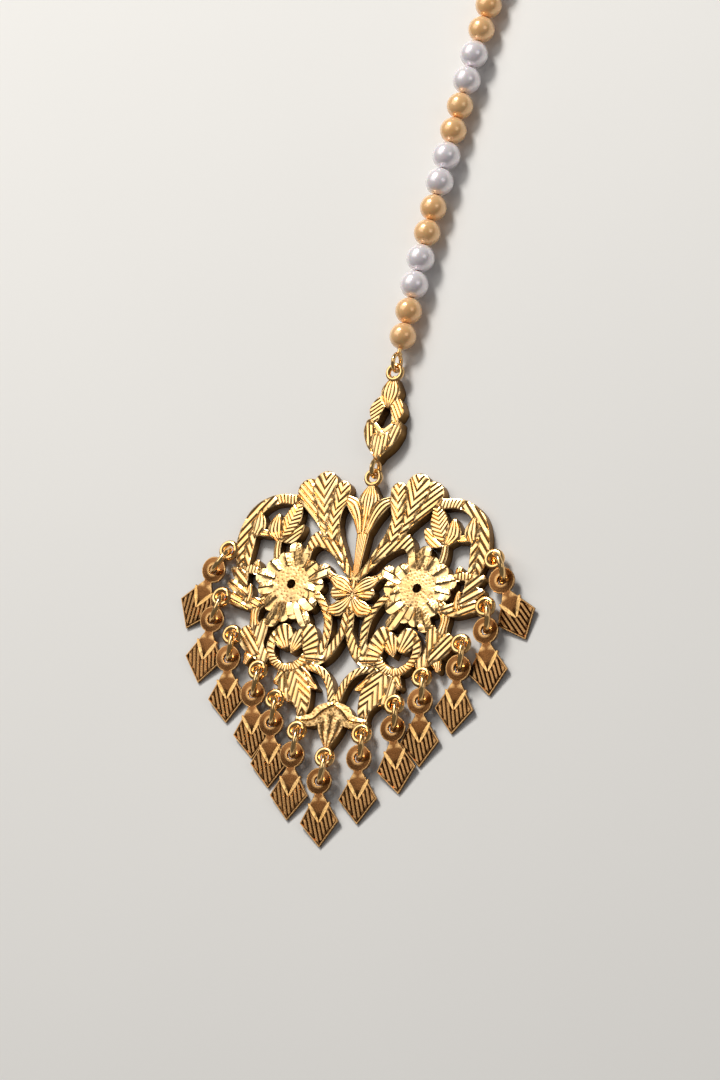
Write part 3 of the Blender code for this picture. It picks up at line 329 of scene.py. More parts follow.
class Leaf:
    """One motif: its outline, its surface, and the lines that are cut into it."""

    def __init__(self, path, cut, hand=1, level=None, hole=False, ridge=0.0, exact=False):
        self.path = path
        self.cut = cut
        self.hand = hand
        self.level = level
        self.hole = hole
        self.ridge = ridge
        self.exact = exact
        left = left_of(path)
        middle = path[:, :2]
        half = np.maximum(path[:, 2:], SMALLEST_HALF if level is None else THIN)
        self.left = left
        self.edge = np.vstack([middle - left * half,
                               half_turn(middle[-1], -left[-1], half[-1, 0]),
                               (middle + left * half)[::-1],
                               half_turn(middle[0], left[0], half[0, 0])])
        self.low = self.edge.min(axis=0)
        self.high = self.edge.max(axis=0)

    def locate(self, spots):
        """For each spot: how far it lies past the edge, its share of the half width, its side."""
        a, step = self.path[:-1], np.diff(self.path, axis=0)
        run = step[:, :2]
        from_a = spots[:, None, :] - a[None, :, :2]
        t = np.clip((from_a * run).sum(2) / np.maximum((run ** 2).sum(1), TINY), 0, 1)
        near = a + t[..., None] * step
        off = spots[:, None, :] - near[..., :2]
        away = np.hypot(off[..., 0], off[..., 1])
        past = away - near[..., 2]
        best = past.argmin(axis=1)
        rows = np.arange(len(spots))
        share = away / np.maximum(near[..., 2], SMALLEST_HALF)
        side = np.sign(run[best, 0] * off[rows, best, 1] - run[best, 1] * off[rows, best, 0])
        beyond = self.past_outline(spots) if self.exact else past[rows, best]
        return beyond, share[rows, best], side * self.hand

    def past_outline(self, spots):
        """How far each spot lies past the outline, from the outline's own straight sides."""
        start = self.edge
        run = np.roll(start, -1, axis=0) - start
        off = spots[:, None, :] - start
        t = np.clip((off * run).sum(2) / np.maximum((run ** 2).sum(1), TINY), 0, 1)
        away = np.linalg.norm(off - t[..., None] * run, axis=2).min(axis=1)
        height = off[..., 1]
        crosses = (height < 0) != (height < run[:, 1])
        slope = run[:, 0] / np.where(run[:, 1] == 0, 1, run[:, 1])
        inside = (crosses & (off[..., 0] < height * slope)).sum(axis=1) % 2 == 1
        return np.where(inside, -away, away)

    def height(self, spots):
        if self.level is not None:
            return np.full(len(spots), self.level)
        full = min(1.0, self.path[:, 2].max() / FULL_CROWN)
        return full * np.clip(1 - self.locate(spots)[1], 0, 1)

    def lines(self):
        """The lines of the engraving, each with how deep it lies: 0 on a ridge, 1 in a groove."""
        kind, pitch = self.cut[:2]
        if kind in ("along", "stipple", "split"):
            return self.lengthwise(kind, pitch)
        if kind in ("chevron", "oblique"):
            return self.slanted(kind, pitch, math.radians(self.cut[2]))
        if kind == "hatch":
            turn = self.cut[2] if self.hand > 0 else 180 - self.cut[2]
            return self.hatching(pitch, math.radians(turn))
        if kind == "fan":
            return self.fan(pitch, np.array(self.cut[2:]) * (self.hand, 1))
        return [(dense(self.path[:, :2]), 0)] if kind == "plain" else []

    def lengthwise(self, kind, pitch):
        half = self.path[:, 2]
        count = max(1 if kind == "stipple" else 2, round(2 * half.max() / pitch))
        width = GROOVE / count if count > 1 else LONE_GROOVE
        shares = [(c + step * width, depth) for c in np.arange(1 - count, count, 2) / count
                  for step, depth in ((-1, 0), (0, 1), (1, 0))]
        if kind == "split":
            side = -pitch * self.hand
            shares = [(side * FACET, FACET_HIGH), (0, FACET_LOW), (-side * LONE_GROOVE, FACET_HIGH)]
        start = (self.path[0] - self.path[1])[:2]
        end = (self.path[-1] - self.path[-2])[:2]
        out = []
        for share, depth in shares:
            reach = math.sqrt(1 - share ** 2)
            line = self.path[:, :2] + self.left * half[:, None] * share
            keep = half * width > CLOSEST_CUTS
            line = line[keep]
            if len(line) < 2:
                continue
            ends = [line]
            if keep[0]:
                ends.insert(0, line[:1] + start / np.hypot(*start) * half[0] * reach)
            if keep[-1]:
                ends.append(line[-1:] + end / np.hypot(*end) * half[-1] * reach)
            out.append((dense(np.vstack(ends)), depth))
        return out

    def slanted(self, kind, pitch, turn):
        """Cuts at an angle to the motif's middle: mirrored across it, or straight through."""
        start = self.path[0] + (self.path[0] - self.path[1]) * RUN_ON
        end = self.path[-1] + (self.path[-1] - self.path[-2]) * RUN_ON
        ridge = dense(np.vstack([start, self.path, end])[:, :2])
        run = np.gradient(ridge, axis=0)
        angle = np.unwrap(np.arctan2(run[:, 1], run[:, 0]))
        length = lengths(ridge)
        spacing = pitch / math.sin(turn)
        reach = SLANT_REACH * self.path[:, 2].max() / math.sin(turn)
        steps = np.arange(0, reach, LINE_STEP)
        out = []
        for s, depth in grooves(0, length[-1], spacing):
            foot = np.array([np.interp(s, length, ridge[:, 0]), np.interp(s, length, ridge[:, 1])])
            way = np.interp(s, length, angle)
            other = turn + math.pi if kind == "oblique" else -turn
            for side in (turn, other):
                way_on = way + side * (self.hand if kind == "oblique" else 1)
                out.append((foot + steps[:, None] * ray(way_on), depth))
        return out

    def hatching(self, pitch, turn):
        along = ray(turn)
        across = np.array([-along[1], along[0]])
        offsets, reaches = self.edge @ across, self.edge @ along
        steps = np.arange(reaches.min(), reaches.max(), LINE_STEP)
        return [(across * offset + steps[:, None] * along, depth)
                for offset, depth in grooves(offsets.min(), offsets.max(), pitch)]

    def fan(self, pitch, middle):
        reach = np.hypot(*(self.edge - middle).T).max()
        steps = np.arange(FAN_START, reach, LINE_STEP)
        return [(middle + steps[:, None] * ray(math.radians(turn)), depth)
                for turn, depth in grooves(0, 360, pitch)]


def ray(turn):
    return np.array([math.cos(turn), math.sin(turn)])


def lengths(line):
    """How far along the line each of its points lies."""
    return np.concatenate([[0], np.cumsum(np.hypot(*np.diff(line, axis=0).T))])


def grooves(start, end, pitch):
    """The places of each groove's two edges and of its bottom, with how deep each lies."""
    middles = np.arange(start + pitch / 2, end, pitch)
    half = GROOVE * pitch / 2
    return [(middle + step * half, depth) for middle in middles
            for step, depth in ((-1, 0), (0, 1), (1, 0))]


def dense(line):
    """The same line with points every LINE_STEP."""
    length = lengths(line)
    places = np.linspace(0, length[-1], max(2, round(length[-1] / LINE_STEP) + 1))
    return np.column_stack([np.interp(places, length, line[:, 0]),
                            np.interp(places, length, line[:, 1])])


def flat_leaf(rows, cut=("none", 0), **how):
    return Leaf(straight_rows(rows, MOTIF_STEP), cut, level=0.0, **how)


def disc_leaf(centre, radius, level=None, hole=False):
    """A round leaf; its path is one very short step."""
    x, y = centre
    path = np.array([(x - THIN, y, radius), (x + THIN, y, radius)])
    return Leaf(path, ("none", 0), level=level, hole=hole)


# Where one leaf lies on another

def sides_of(points):
    return list(zip(points, points[1:] + points[:1]))


def cells_beside(cells):
    """For each edge, the triangles or other cells that it belongs to."""
    beside = {}
    for k, cell in enumerate(cells):
        for pair in sides_of(cell):
            beside.setdefault(frozenset(pair), []).append(k)
    return beside


def visible_edges(leaves):
    """The lines where a leaf ends on another or at a gap, as points and pairs of points."""
    starts = np.cumsum([0] + [len(leaf.edge) for leaf in leaves])
    faces = [list(range(a, b)) for a, b in zip(starts, starts[1:])]
    points = [Vector(p) for leaf in leaves for p in leaf.edge]
    spots, edges, cells, _, _, cell_from = delaunay_2d_cdt(points, [], faces, 0, EDGE_SNAP)
    shown = [max(sources, default=GAP) for sources in cell_from]
    beside = cells_beside(cells)
    kept = []
    for edge in edges:
        owners = [shown[k] for k in beside.get(frozenset(edge), [])]
        if len(owners) == 1:
            owners.append(GAP)
        if len(set(owners)) > 1:
            kept.append(edge)
    return spots, kept


def weld(spots, edges, reach):
    """Joins points that lie closer than the reach."""
    place, chosen, grid = {}, [], {}
    for i in sorted({i for edge in edges for i in edge}):
        column, row = round(spots[i].x / reach), round(spots[i].y / reach)
        near = [k for dx in (-1, 0, 1) for dy in (-1, 0, 1)
                for k in grid.get((column + dx, row + dy), [])
                if (chosen[k] - spots[i]).length < reach]
        if not near:
            near = [len(chosen)]
            chosen.append(spots[i].copy())
            grid.setdefault((column, row), []).append(near[0])
        place[i] = near[0]
    pairs = {tuple(sorted((place[a], place[b]))) for a, b in edges if place[a] != place[b]}
    return chosen, sorted(pairs)


def cut_lines(leaves):
    """The stretches of every leaf's engraving that show, as (points, depth)."""
    out = []
    for k, leaf in enumerate(leaves):
        lines = leaf.lines() if not leaf.hole else []
        if not lines:
            continue
        spots = np.vstack([line for line, _ in lines])
        shown = leaf.locate(spots)[0] < -CUT_MARGIN
        for other in leaves[k + 1:]:
            inside = (spots > other.low - NEARBY) & (spots < other.high + NEARBY)
            near = inside.all(axis=1) & shown
            if near.any():
                shown[near] = other.locate(spots[near])[0] > CUT_MARGIN
        first = 0
        for line, depth in lines:
            mask = shown[first:first + len(line)]
            first += len(line)
            run = []
            for spot, seen in zip(line, mask):
                if seen:
                    run.append(spot)
                    continue
                out.append((run, depth or leaf.ridge))
                run = []
            out.append((run, depth or leaf.ridge))
    return [(thin(run), depth) for run, depth in out if len(run) > 2]


def thin(run):
    """The run with fewer points."""
    return run[:-1:KEPT_POINTS] + [run[-1]]


def corners_and_areas(spots, cells):
    """Each triangle's three corners, and its area."""
    corners = np.array([[spots[i][:] for i in cell] for cell in cells])
    one, two = corners[:, 1] - corners[:, 0], corners[:, 2] - corners[:, 0]
    return corners, np.abs(one[:, 0] * two[:, 1] - one[:, 1] * two[:, 0]) / 2


def grouped(cells, walls):
    """The groups of triangles that no wall parts, and the triangles beside each edge."""
    beside = cells_beside(cells)
    groups, seen = [], set()
    for first in range(len(cells)):
        if first in seen:
            continue
        seen.add(first)
        group, stack = [], [first]
        while stack:
            k = stack.pop()
            group.append(k)
            for pair in sides_of(cells[k]):
                edge = frozenset(pair)
                fresh = [n for n in beside[edge] if n not in seen] if edge not in walls else []
                seen.update(fresh)
                stack += fresh
        groups.append(group)
    return groups, beside


def regions(spots, cells, walls, leaves):
    """The leaf that each triangle shows, and the triangles beside each edge."""
    groups, beside = grouped(cells, walls)
    corners, area = corners_and_areas(spots, cells)
    middles = corners.mean(axis=1)
    owner = np.full(len(cells), GAP)
    best = np.array([max(group, key=lambda k: area[k]) for group in groups])
    found = np.full(len(groups), GAP)
    for k, leaf in enumerate(leaves):
        found[leaf.locate(middles[best])[0] < 0] = k
    for group, k in zip(groups, found):
        owner[group] = k
    for group, k in zip(groups, found):
        edges = [frozenset(pair) for cell in group for pair in sides_of(cells[cell])]
        if k >= 0 or area[group].sum() > SMALLEST_GAP or any(len(beside[e]) < 2 for e in edges):
            continue
        near = [owner[other] for e in edges for other in beside[e] if owner[other] >= 0]
        owner[group] = max(near)
    return owner, beside


def engraved_plate(leaves, square, edge_height, crown, depth, back=0.0, dome=(0, 1),
                   steps=(EDGE_CUT, CREASE_CUT)):
    """A plate of leaves with their ridges and cuts, and with steps along openings and creases.

    Each point carries how deep it lies: -1 on the outline, 0 on a ridge and 1 in a groove; the
    gold turns darker with it, as painted shade in grooves and creases. Material 0 is cut metal, 1 is
    stippled and 2 is the rough side, painted dark as shade."""
    spots, edges = weld(*visible_edges(leaves), WELD)
    points = list(spots)
    level = [None] * len(points)
    lines = list(edges)
    for run, deep in cut_lines(leaves):
        base = len(points)
        points += [Vector(p) for p in run]
        level += [deep] * len(run)
        lines += [(base + k, base + k + 1) for k in range(len(run) - 1)]
    plan = delaunay_2d_cdt(points, lines, [], 0, CUT_SNAP)
    flat, found_edges, cells, point_from, edge_from, _ = plan
    walls = {frozenset(edge) for edge, sources in zip(found_edges, edge_from)
             if any(s < len(edges) for s in sources)}
    owner, beside = regions(flat, cells, walls, leaves)
    metal = [k for k in range(len(cells)) if owner[k] >= 0 and not leaves[owner[k]].hole]
    solid = set(metal)
    top_owner, rim = {}, []
    for k in metal:
        for pair in sides_of(cells[k]):
            if len([n for n in beside[frozenset(pair)] if n in solid]) == 1:
                rim.append(pair)
            for i in pair:
                top_owner[i] = max(top_owner.get(i, GAP), owner[k])
    on_rim = {i for pair in rim for i in pair}
    on_wall = {i for edge in walls for i in edge}
    xy = np.array([p[:] for p in flat])
    rise = np.zeros(len(flat))
    for k in sorted(set(top_owner.values())):
        mine = [i for i, n in top_owner.items() if n == k]
        rise[mine] = leaves[k].height(xy[mine])
    cut = np.full(len(flat), PLAIN_CUT)
    for i, sources in enumerate(point_from):
        given = [level[s] for s in sources if level[s] is not None]
        if i in on_wall:
            cut[i] = steps[0] if i in on_rim else steps[1]
        elif given:
            cut[i] = given[0]
    swell = np.clip(1 - (xy ** 2).sum(1) / dome[1] ** 2, 0, 1) * dome[0]
    z = edge_height + crown * rise + swell - depth * cut
    bm = bmesh.new()
    layer = bm.verts.layers.float.new("cut")
    top = {}
    for i in top_owner:
        top[i] = bm.verts.new((xy[i, 0] * square, xy[i, 1] * square, z[i]))
        top[i][layer] = OUTLINE if i in on_rim else cut[i]
    middles = np.array([xy[cells[k]].mean(axis=0) for k in metal])
    owners = owner[metal]
    stippled = np.zeros(len(metal), bool)
    for k in set(owners):
        mine = owners == k
        if leaves[k].cut[0] == "split":
            stippled[mine] = leaves[k].locate(middles[mine])[2] * leaves[k].cut[1] > 0
        elif leaves[k].cut[0] in ("stipple", "dotted"):
            stippled[mine] = True
    for k, matte in zip(metal, stippled):
        face = bm.faces.new([top[i] for i in cells[k]])
        face.material_index = int(matte)
    add_walls(bm, xy * square, z, top, rim, back, layer)
    return bm


def add_walls(bm, xy, z, top, rim, back, layer):
    """A chamfer, a wall and the flat back under the plate's outline."""
    out = {}
    for a, b in rim:
        run = xy[b] - xy[a]
        normal = np.array([run[1], -run[0]]) / max(np.hypot(*run), TINY)
        for i in (a, b):
            out[i] = out.get(i, 0) + normal
    waist, foot = {}, {}
    for i, normal in out.items():
        x, y = xy[i] + normal / max(np.hypot(*normal), TINY) * CHAMFER
        waist[i] = bm.verts.new((x, y, z[i] - CHAMFER))
        foot[i] = bm.verts.new((x, y, back))
        # the chamfer keeps the outline's value, and the foot takes a darker one as painted shade low
        # on the wall
        waist[i][layer] = OUTLINE
        foot[i][layer] = FOOT_SHADE
    for a, b in rim:
        bm.faces.new((top[b], top[a], waist[a], waist[b]))
        bm.faces.new((waist[b], waist[a], foot[a], foot[b])).material_index = 2
    order = list(foot)
    index = {i: n for n, i in enumerate(order)}
    flat = delaunay_2d_cdt([Vector(xy[i]) for i in order],
                           [(index[a], index[b]) for a, b in rim], [], 0, BACK_SNAP)
    spots, edges, cells, point_from, edge_from, _ = flat
    walls = {frozenset(edge) for edge, sources in zip(edges, edge_from) if sources}
    corners, area = corners_and_areas(spots, cells)
    ends = np.array([(xy[a], xy[b]) for a, b in rim])
    for group in grouped(cells, walls)[0]:
        x, y = corners[max(group, key=lambda k: area[k])].mean(axis=0)
        crossed = ends[(ends[:, 0, 1] > y) != (ends[:, 1, 1] > y)]
        (ax, ay), (bx, by) = crossed[:, 0].T, crossed[:, 1].T
        if (x < ax + (y - ay) * (bx - ax) / (by - ay)).sum() % 2:
            for k in group:
                under = [foot[order[point_from[i][0]]] for i in reversed(cells[k])]
                bm.faces.new(under).material_index = 2


# Wire and rings

def whole_turn(parts):
    """The angles of so many points, spaced evenly round a circle."""
    return [2 * math.pi * k / parts for k in range(parts)]


def around(centre, first, second, radius, turns):
    """Points on a circle, from the first direction towards the second."""
    return [centre + radius * (first * math.cos(t) + second * math.sin(t)) for t in turns]


def skin(bm, rings, closed, metal=0):
    """The faces between rings of points, added to bm."""
    for one, two in zip(rings, rings[1:] + (rings[:1] if closed else [])):
        for k in range(len(one)):
            n = (k + 1) % len(one)
            bm.faces.new((one[k], one[n], two[n], two[k])).material_index = metal


def tube(bm, points, radius, sides, closed=False, metal=0):
    """A round wire along the points, added to bm."""
    count = len(points)
    rings = []
    across = None
    for i, point in enumerate(points):
        before = points[(i - 1) % count] if closed or i else point
        after = points[(i + 1) % count] if closed or i < count - 1 else point
        along = (after - before).normalized()
        if across is None:
            across = along.orthogonal()
        across = (across - along * across.dot(along)).normalized()
        up = along.cross(across)
        spots = around(point, across, up, radius, whole_turn(sides))
        rings.append([bm.verts.new(p) for p in spots])
    skin(bm, rings, closed, metal)
    if not closed:
        bm.faces.new(rings[0][::-1])
        bm.faces.new(rings[-1])


def ring(bm, centre, radius, wire, normal, metal=0):
    first = normal.orthogonal().normalized()
    second = normal.cross(first).normalized()
    spots = around(centre, first, second, radius, whole_turn(RING_SIDES))
    tube(bm, spots, wire / 2, WIRE_SIDES, closed=True, metal=metal)


def heading(degrees):
    return Vector((*ray(math.radians(degrees)), 0))


UP = Vector((0, 0, 1))


def link_distance(flat_radius, flat_wire, flat_height, ring_radius, ring_wire, ring_height):
    """How far a standing ring's centre lies from the centre of the flat ring that it pulls on."""
    room = ring_radius - ring_wire / 2 - flat_wire / 2 - LINK_GAP
    drop = ring_height - flat_height
    return flat_radius + math.sqrt(max(room * room - drop * drop, 0))


def loop_centre(x, y, turn, radius, wire):
    spot = Vector((x * SQUARE, y * SQUARE, LOOP_HEIGHT))
    return spot + heading(turn) * (radius + wire / 2 - LOOP_SEAT)


def axes_of(node):
    """A node's centre and its axes, the longest first, from its mesh."""
    spots = np.array([v.co[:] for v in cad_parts[node].data.vertices])
    spots = np.unique(spots.round(DECIMALS), axis=0)
    centre = spots.mean(axis=0)
    _, axes = np.linalg.eigh(np.cov((spots - centre).T))
    return Vector(centre), [Vector(axes[:, k]) for k in (2, 1, 0)], spots


# Materials

def new_material(name):
    material = bpy.data.materials.new(name)
    material.use_nodes = True
    tree = material.node_tree
    return material, tree, tree.nodes["Principled BSDF"]


def put(node, values):
    """Sets a node's sockets to numbers and colours, or links other nodes' outputs to them."""
    for name, value in values.items():
        if isinstance(value, bpy.types.NodeSocket):
            node.id_data.links.new(value, node.inputs[name])
        else:
            node.inputs[name].default_value = value


def texture(tree, kind, scale, **values):
    """A texture that lies in the object's own space, in cycles per metre."""
    node = tree.nodes.new(kind)
    place = tree.nodes.new("ShaderNodeTexCoord")
    put(node, {"Vector": place.outputs["Object"], "Scale": scale, **values})
    return node


def noise(tree, scale, **values):
    return texture(tree, "ShaderNodeTexNoise", scale, **values).outputs["Fac"]


def spread(tree, value, low, high, start=0.0, end=1.0):
    node = tree.nodes.new("ShaderNodeMapRange")
    put(node, {"Value": value, "From Min": start, "From Max": end, "To Min": low, "To Max": high})
    return node.outputs["Result"]


def blend(tree, share, one, two):
    """A mix of two colours by a share; each is a colour or another node's output."""
    node = tree.nodes.new("ShaderNodeMix")
    node.data_type = "RGBA"
    put(node, {"Factor": share})
    for value, name in ((one, "A"), (two, "B")):
        socket = [s for s in node.inputs if s.name == name and s.type == "RGBA"][0]
        if isinstance(value, tuple):
            socket.default_value = (*value, 1)
        else:
            tree.links.new(value, socket)
    return [s for s in node.outputs if s.type == "RGBA"][0]


def bump(tree, shader, value, strength, distance):
    node = tree.nodes.new("ShaderNodeBump")
    put(node, {"Strength": strength, "Distance": distance, "Height": value})
    put(shader, {"Normal": node.outputs["Normal"]})


def gold(name, bright, patch_tone, groove_shade, roughness, stipple=False, patches=420, edge=None):
    """Plated metal in two tones that vary in random patches, dotted where it is punched.

    Its colour turns to the groove colour where it is cut deep and in the punched dots, as painted
    shade, and pales along the outline as a painted highlight when an edge colour is given.
    """
    material, tree, shader = new_material(name)
    cloud = noise(tree, patches, Detail=4.0, Roughness=0.6)
    fine = noise(tree, 5200, Detail=3.0, Roughness=0.6)
    depth = tree.nodes.new("ShaderNodeAttribute")
    depth.attribute_name = "cut"
    base = blend(tree, spread(tree, cloud, 0, 1, 0.35, 0.65), bright, patch_tone)
    # painted shade: the colour turns to the groove colour as the cut deepens, in grooves and creases
    # and towards a wall's foot
    shade_share = spread(tree, depth.outputs["Fac"], 0, 0.92, 0.35, 1.0)
    # a pale painted highlight along the outline and its chamfer, where an edge colour is given
    if edge:
        base = blend(tree, spread(tree, depth.outputs["Fac"], 0.9, 0, -1.0, -0.1), base, edge)
    if stipple:
        dots = texture(tree, "ShaderNodeTexVoronoi", 2500, Randomness=1.0)
        # the punched dots take the groove colour, as painted shade in their pits
        specks = spread(tree, dots.outputs["Distance"], 0.9, 0, 0.15, 0.5)
        base = blend(tree, specks, base, groove_shade)
        bump(tree, shader, dots.outputs["Distance"], 0.6, 0.06 * MM)
    else:
        bump(tree, shader, fine, 0.35, 0.03 * MM)
    put(shader, {"Metallic": 1.0, "Base Color": blend(tree, shade_share, base, groove_shade),
                 "Roughness": spread(tree, fine, *roughness, 0.3, 0.7)})
    return material


def pearl_material(name, body, rim_sheen_colour, glow):
    """A lacquered pearl: its colour pales towards the rim as a painted sheen, and has a faint second
    tint.
    """
    material, tree, shader = new_material(name)
    cloud = noise(tree, 260, Detail=3.0, Roughness=0.55)
    facing = tree.nodes.new("ShaderNodeLayerWeight")
    put(facing, {"Blend": 0.42})
    tinted = blend(tree, spread(tree, cloud, 0, 1, 0.35, 0.65), body, glow)
    # painted sheen: the colour pales where the surface turns away from the camera
    rim = spread(tree, facing.outputs["Facing"], 0.1, 0.7, 0.0, 1.0)
    put(shader, {"Base Color": blend(tree, rim, tinted, rim_sheen_colour), "Roughness": 0.26,
                 "Subsurface Weight": 0.1, "Subsurface Scale": 0.6 * MM, "Coat Weight": 0.9,
                 "Coat Roughness": 0.07, "Metallic": 0.25})
    fine = noise(tree, 1900, Detail=2.0)
    bump(tree, shader, fine, 0.12, 0.02 * MM)
    return material


def add(name, data):
    thing = bpy.data.objects.new(name, data)
    bpy.context.collection.objects.link(thing)
    return thing


def add_mesh(name, bm, materials):
    mesh = bpy.data.meshes.new(name)
    bm.to_mesh(mesh)
    bm.free()
    for material in materials:
        mesh.materials.append(material)
    return add(name, mesh)


def piece(name, bm, materials, slot, *nodes, smooth=ROUND_SMOOTH):
    """One visual piece, which stands in for the nodes."""
    bmesh.ops.recalc_face_normals(bm, faces=bm.faces[:])
    thing = add_mesh(name, bm, materials)
    thing.data.shade_smooth()
    thing.data.set_sharp_from_angle(angle=math.radians(smooth))
    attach(thing, "root")
    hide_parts(*nodes)


# Pieces

def heart_leaves():
    leaves = [Leaf(smooth_rows(rows, MOTIF_STEP), cut) for cut, rows in MIDDLE_MOTIFS.values()]
    side = list(SIDE_MOTIFS.values())
    for turn, reach, half in FLOWER_LOBES:
        along = ray(math.radians(turn))
        rows = [(*(np.array(FLOWER) + along * (reach - half) * share), half * width)
                for share, width in LOBE_SHAPE]
        side.append((("split", 1 if along[0] > 0 else -1), rows))
    for cut, rows in side:
        path = smooth_rows(rows, MOTIF_STEP)
        leaves.append(Leaf(path, cut))
        leaves.append(Leaf(path * (-1, 1, 1), cut, hand=-1))
    for sign in (1, -1):
        centre = (sign * FLOWER[0], FLOWER[1])
        disc = disc_leaf(centre, FLOWER_DISC, FLOWER_LEVEL)
        disc.cut = ("dotted", 0)
        leaves += [disc, disc_leaf(centre, FLOWER_EYE, 0.0, hole=True)]
    return leaves


def build_heart(metals):
    bm = engraved_plate(heart_leaves(), SQUARE, PLATE_EDGE, PLATE_CROWN, CUT_DEPTH,
                        dome=(PLATE_DOME, HEART_SQUARES / 2))
    for place in LOOPS:
        ring(bm, loop_centre(*place, LOOP_RADIUS, LOOP_WIRE), LOOP_RADIUS, LOOP_WIRE, UP, WIRE_METAL)
    ring(bm, loop_centre(*TOP_LOOP, TOP_RADIUS, TOP_WIRE), TOP_RADIUS, TOP_WIRE, UP, WIRE_METAL)
    piece("heart", bm, metals, "gold", "heart_plate", smooth=PLATE_SMOOTH)


def build_connector(metals):
    top = loop_centre(*TOP_LOOP, TOP_RADIUS, TOP_WIRE)
    along = heading(90 - CONNECTOR_LEAN)
    centre = top + along * link_distance(TOP_RADIUS, TOP_WIRE, LOOP_HEIGHT, STANDING_RADIUS,
                                         STANDING_WIRE, LOOP_HEIGHT)
    leaves = []
    for cut, twin_cut, rows in CONNECTOR_MOTIFS.values():
        path = smooth_rows(rows, MOTIF_STEP)
        leaves.append(Leaf(path, cut))
        if twin_cut:
            leaves.append(Leaf(path * (-1, 1, 1), twin_cut))
    leaves.append(flat_leaf(CONNECTOR_WINDOW, hole=True))
    bm = engraved_plate(leaves, MM, CONNECTOR_EDGE, CONNECTOR_CROWN, CUT_DEPTH)
    foot = centre + along * (STANDING_RADIUS - STANDING_WIRE / 4)
    bm.transform(Matrix.Translation((foot.x, foot.y, 0))
                 @ Matrix.Rotation(math.radians(-CONNECTOR_LEAN), 4, "Z"))
    head = foot + along * (CONNECTOR_LENGTH + TOP_RADIUS - TOP_WIRE / 4)
    head.z = CONNECTOR_LOOP_HEIGHT
    ring(bm, head, TOP_RADIUS, TOP_WIRE, UP, WIRE_METAL)
    ring(bm, centre, STANDING_RADIUS, STANDING_WIRE, along.cross(UP), WIRE_METAL)
    piece("connector", bm, metals, "gold", "connector_link", smooth=PLATE_SMOOTH)


def drop_mesh():
    """A drop with its hole's centre at the origin and its point at +Y."""
    leaves = [flat_leaf(DROP_BLADE, exact=True),
              flat_leaf(DROP_FIELD, ("hatch", *DROP_HATCH), ridge=DROP_RIDGE, exact=True),
              Leaf(smooth_rows(DROP_NECK_FACE, MOTIF_STEP), ("plain", 0))]
    for hand in (1, -1):
        leaves.append(Leaf(smooth_rows(DROP_GLINT, GLINT_STEP) * (hand, 1, 1), ("dotted", 0),
                           level=0.0, exact=True))
    radius = DROP_DISC / 2 / MM
    leaves += [disc_leaf((0, 0), radius, 0.0), disc_leaf((0, 0), radius - DROP_BORDER, 0.0),
               disc_leaf((0, 0), DROP_COLLAR, 1.0),
               disc_leaf((0, 0), DROP_HOLE / 2 / MM, 0.0, hole=True)]
    return engraved_plate(leaves, MM, DROP_THICKNESS / 2, DROP_COLLAR_RISE, DROP_CUT_DEPTH,
                          back=-DROP_THICKNESS / 2, steps=(0, 0))


def build_drop(n, metals):
    """A drop where its solid lies: the long axis points away from the drop's ring."""
    node = f"drop_{n:02d}"
    centre, (along, across, normal), spots = axes_of(node)
    from_ring = centre - axes_of(f"jump_ring_{n:02d}")[0]
    along = along if along.dot(from_ring) > 0 else -along
    normal = normal if normal.z > 0 else -normal
    across = along.cross(normal)
    tip = max((Vector(s) - centre).dot(along) for s in spots)
    hole = centre + along * (tip - DROP_LENGTH)
    turn = Matrix((across, along, normal)).transposed().to_4x4()
    bm = drop_mesh()
    bm.transform(Matrix.Translation(hole) @ turn)
    piece(f"drop_{n:02d}_engraved", bm, metals, "drop_gold", node, smooth=DROP_SMOOTH)


def build_jump_ring(n, material):
    node = f"jump_ring_{n:02d}"
    centre, (_, _, normal), spots = axes_of(node)
    off = spots - np.array(centre)
    wire = 2 * float(np.abs(off @ np.array(normal)).max())
    radius = float(np.linalg.norm(off, axis=1).max()) - wire / 2
    bm = bmesh.new()
    ring(bm, centre, radius, wire, normal)
    piece(f"{node}_round", bm, [material], "gold", node)


def build_pearl(n, material, slot):
    """A ball turned round the bore, with a small rounded lip at each end of it."""
    node = f"pearl_{n:02d}"
    centre, axes, spots = axes_of(node)
    off = spots - np.array(centre)
    radius = float(np.linalg.norm(off, axis=1).max())
    axis = min(axes, key=lambda a: np.abs(off @ np.array(a)).max())
    bore = PEARL_BORE / 2
    start = math.asin(bore / radius)
    turns = np.linspace(start, math.pi - start, PEARL_BANDS + 1).tolist()
    profile = [(radius * math.sin(t), -radius * math.cos(t)) for t in turns]
    lip = [(bore - inward * MM, profile[0][1] + down * MM) for inward, down in PEARL_LIP]
    profile = lip[::-1] + profile + [(out, -along) for out, along in lip]
    bm = bmesh.new()
    skin(bm, [[bm.verts.new((out * math.cos(t), out * math.sin(t), along))
               for t in whole_turn(PEARL_SIDES)] for out, along in profile], True)
    bm.transform(Matrix.Translation(centre) @ axis.to_track_quat("Z", "Y").to_matrix().to_4x4())
    piece(f"{node}_round", bm, [material], slot, node)
    return centre


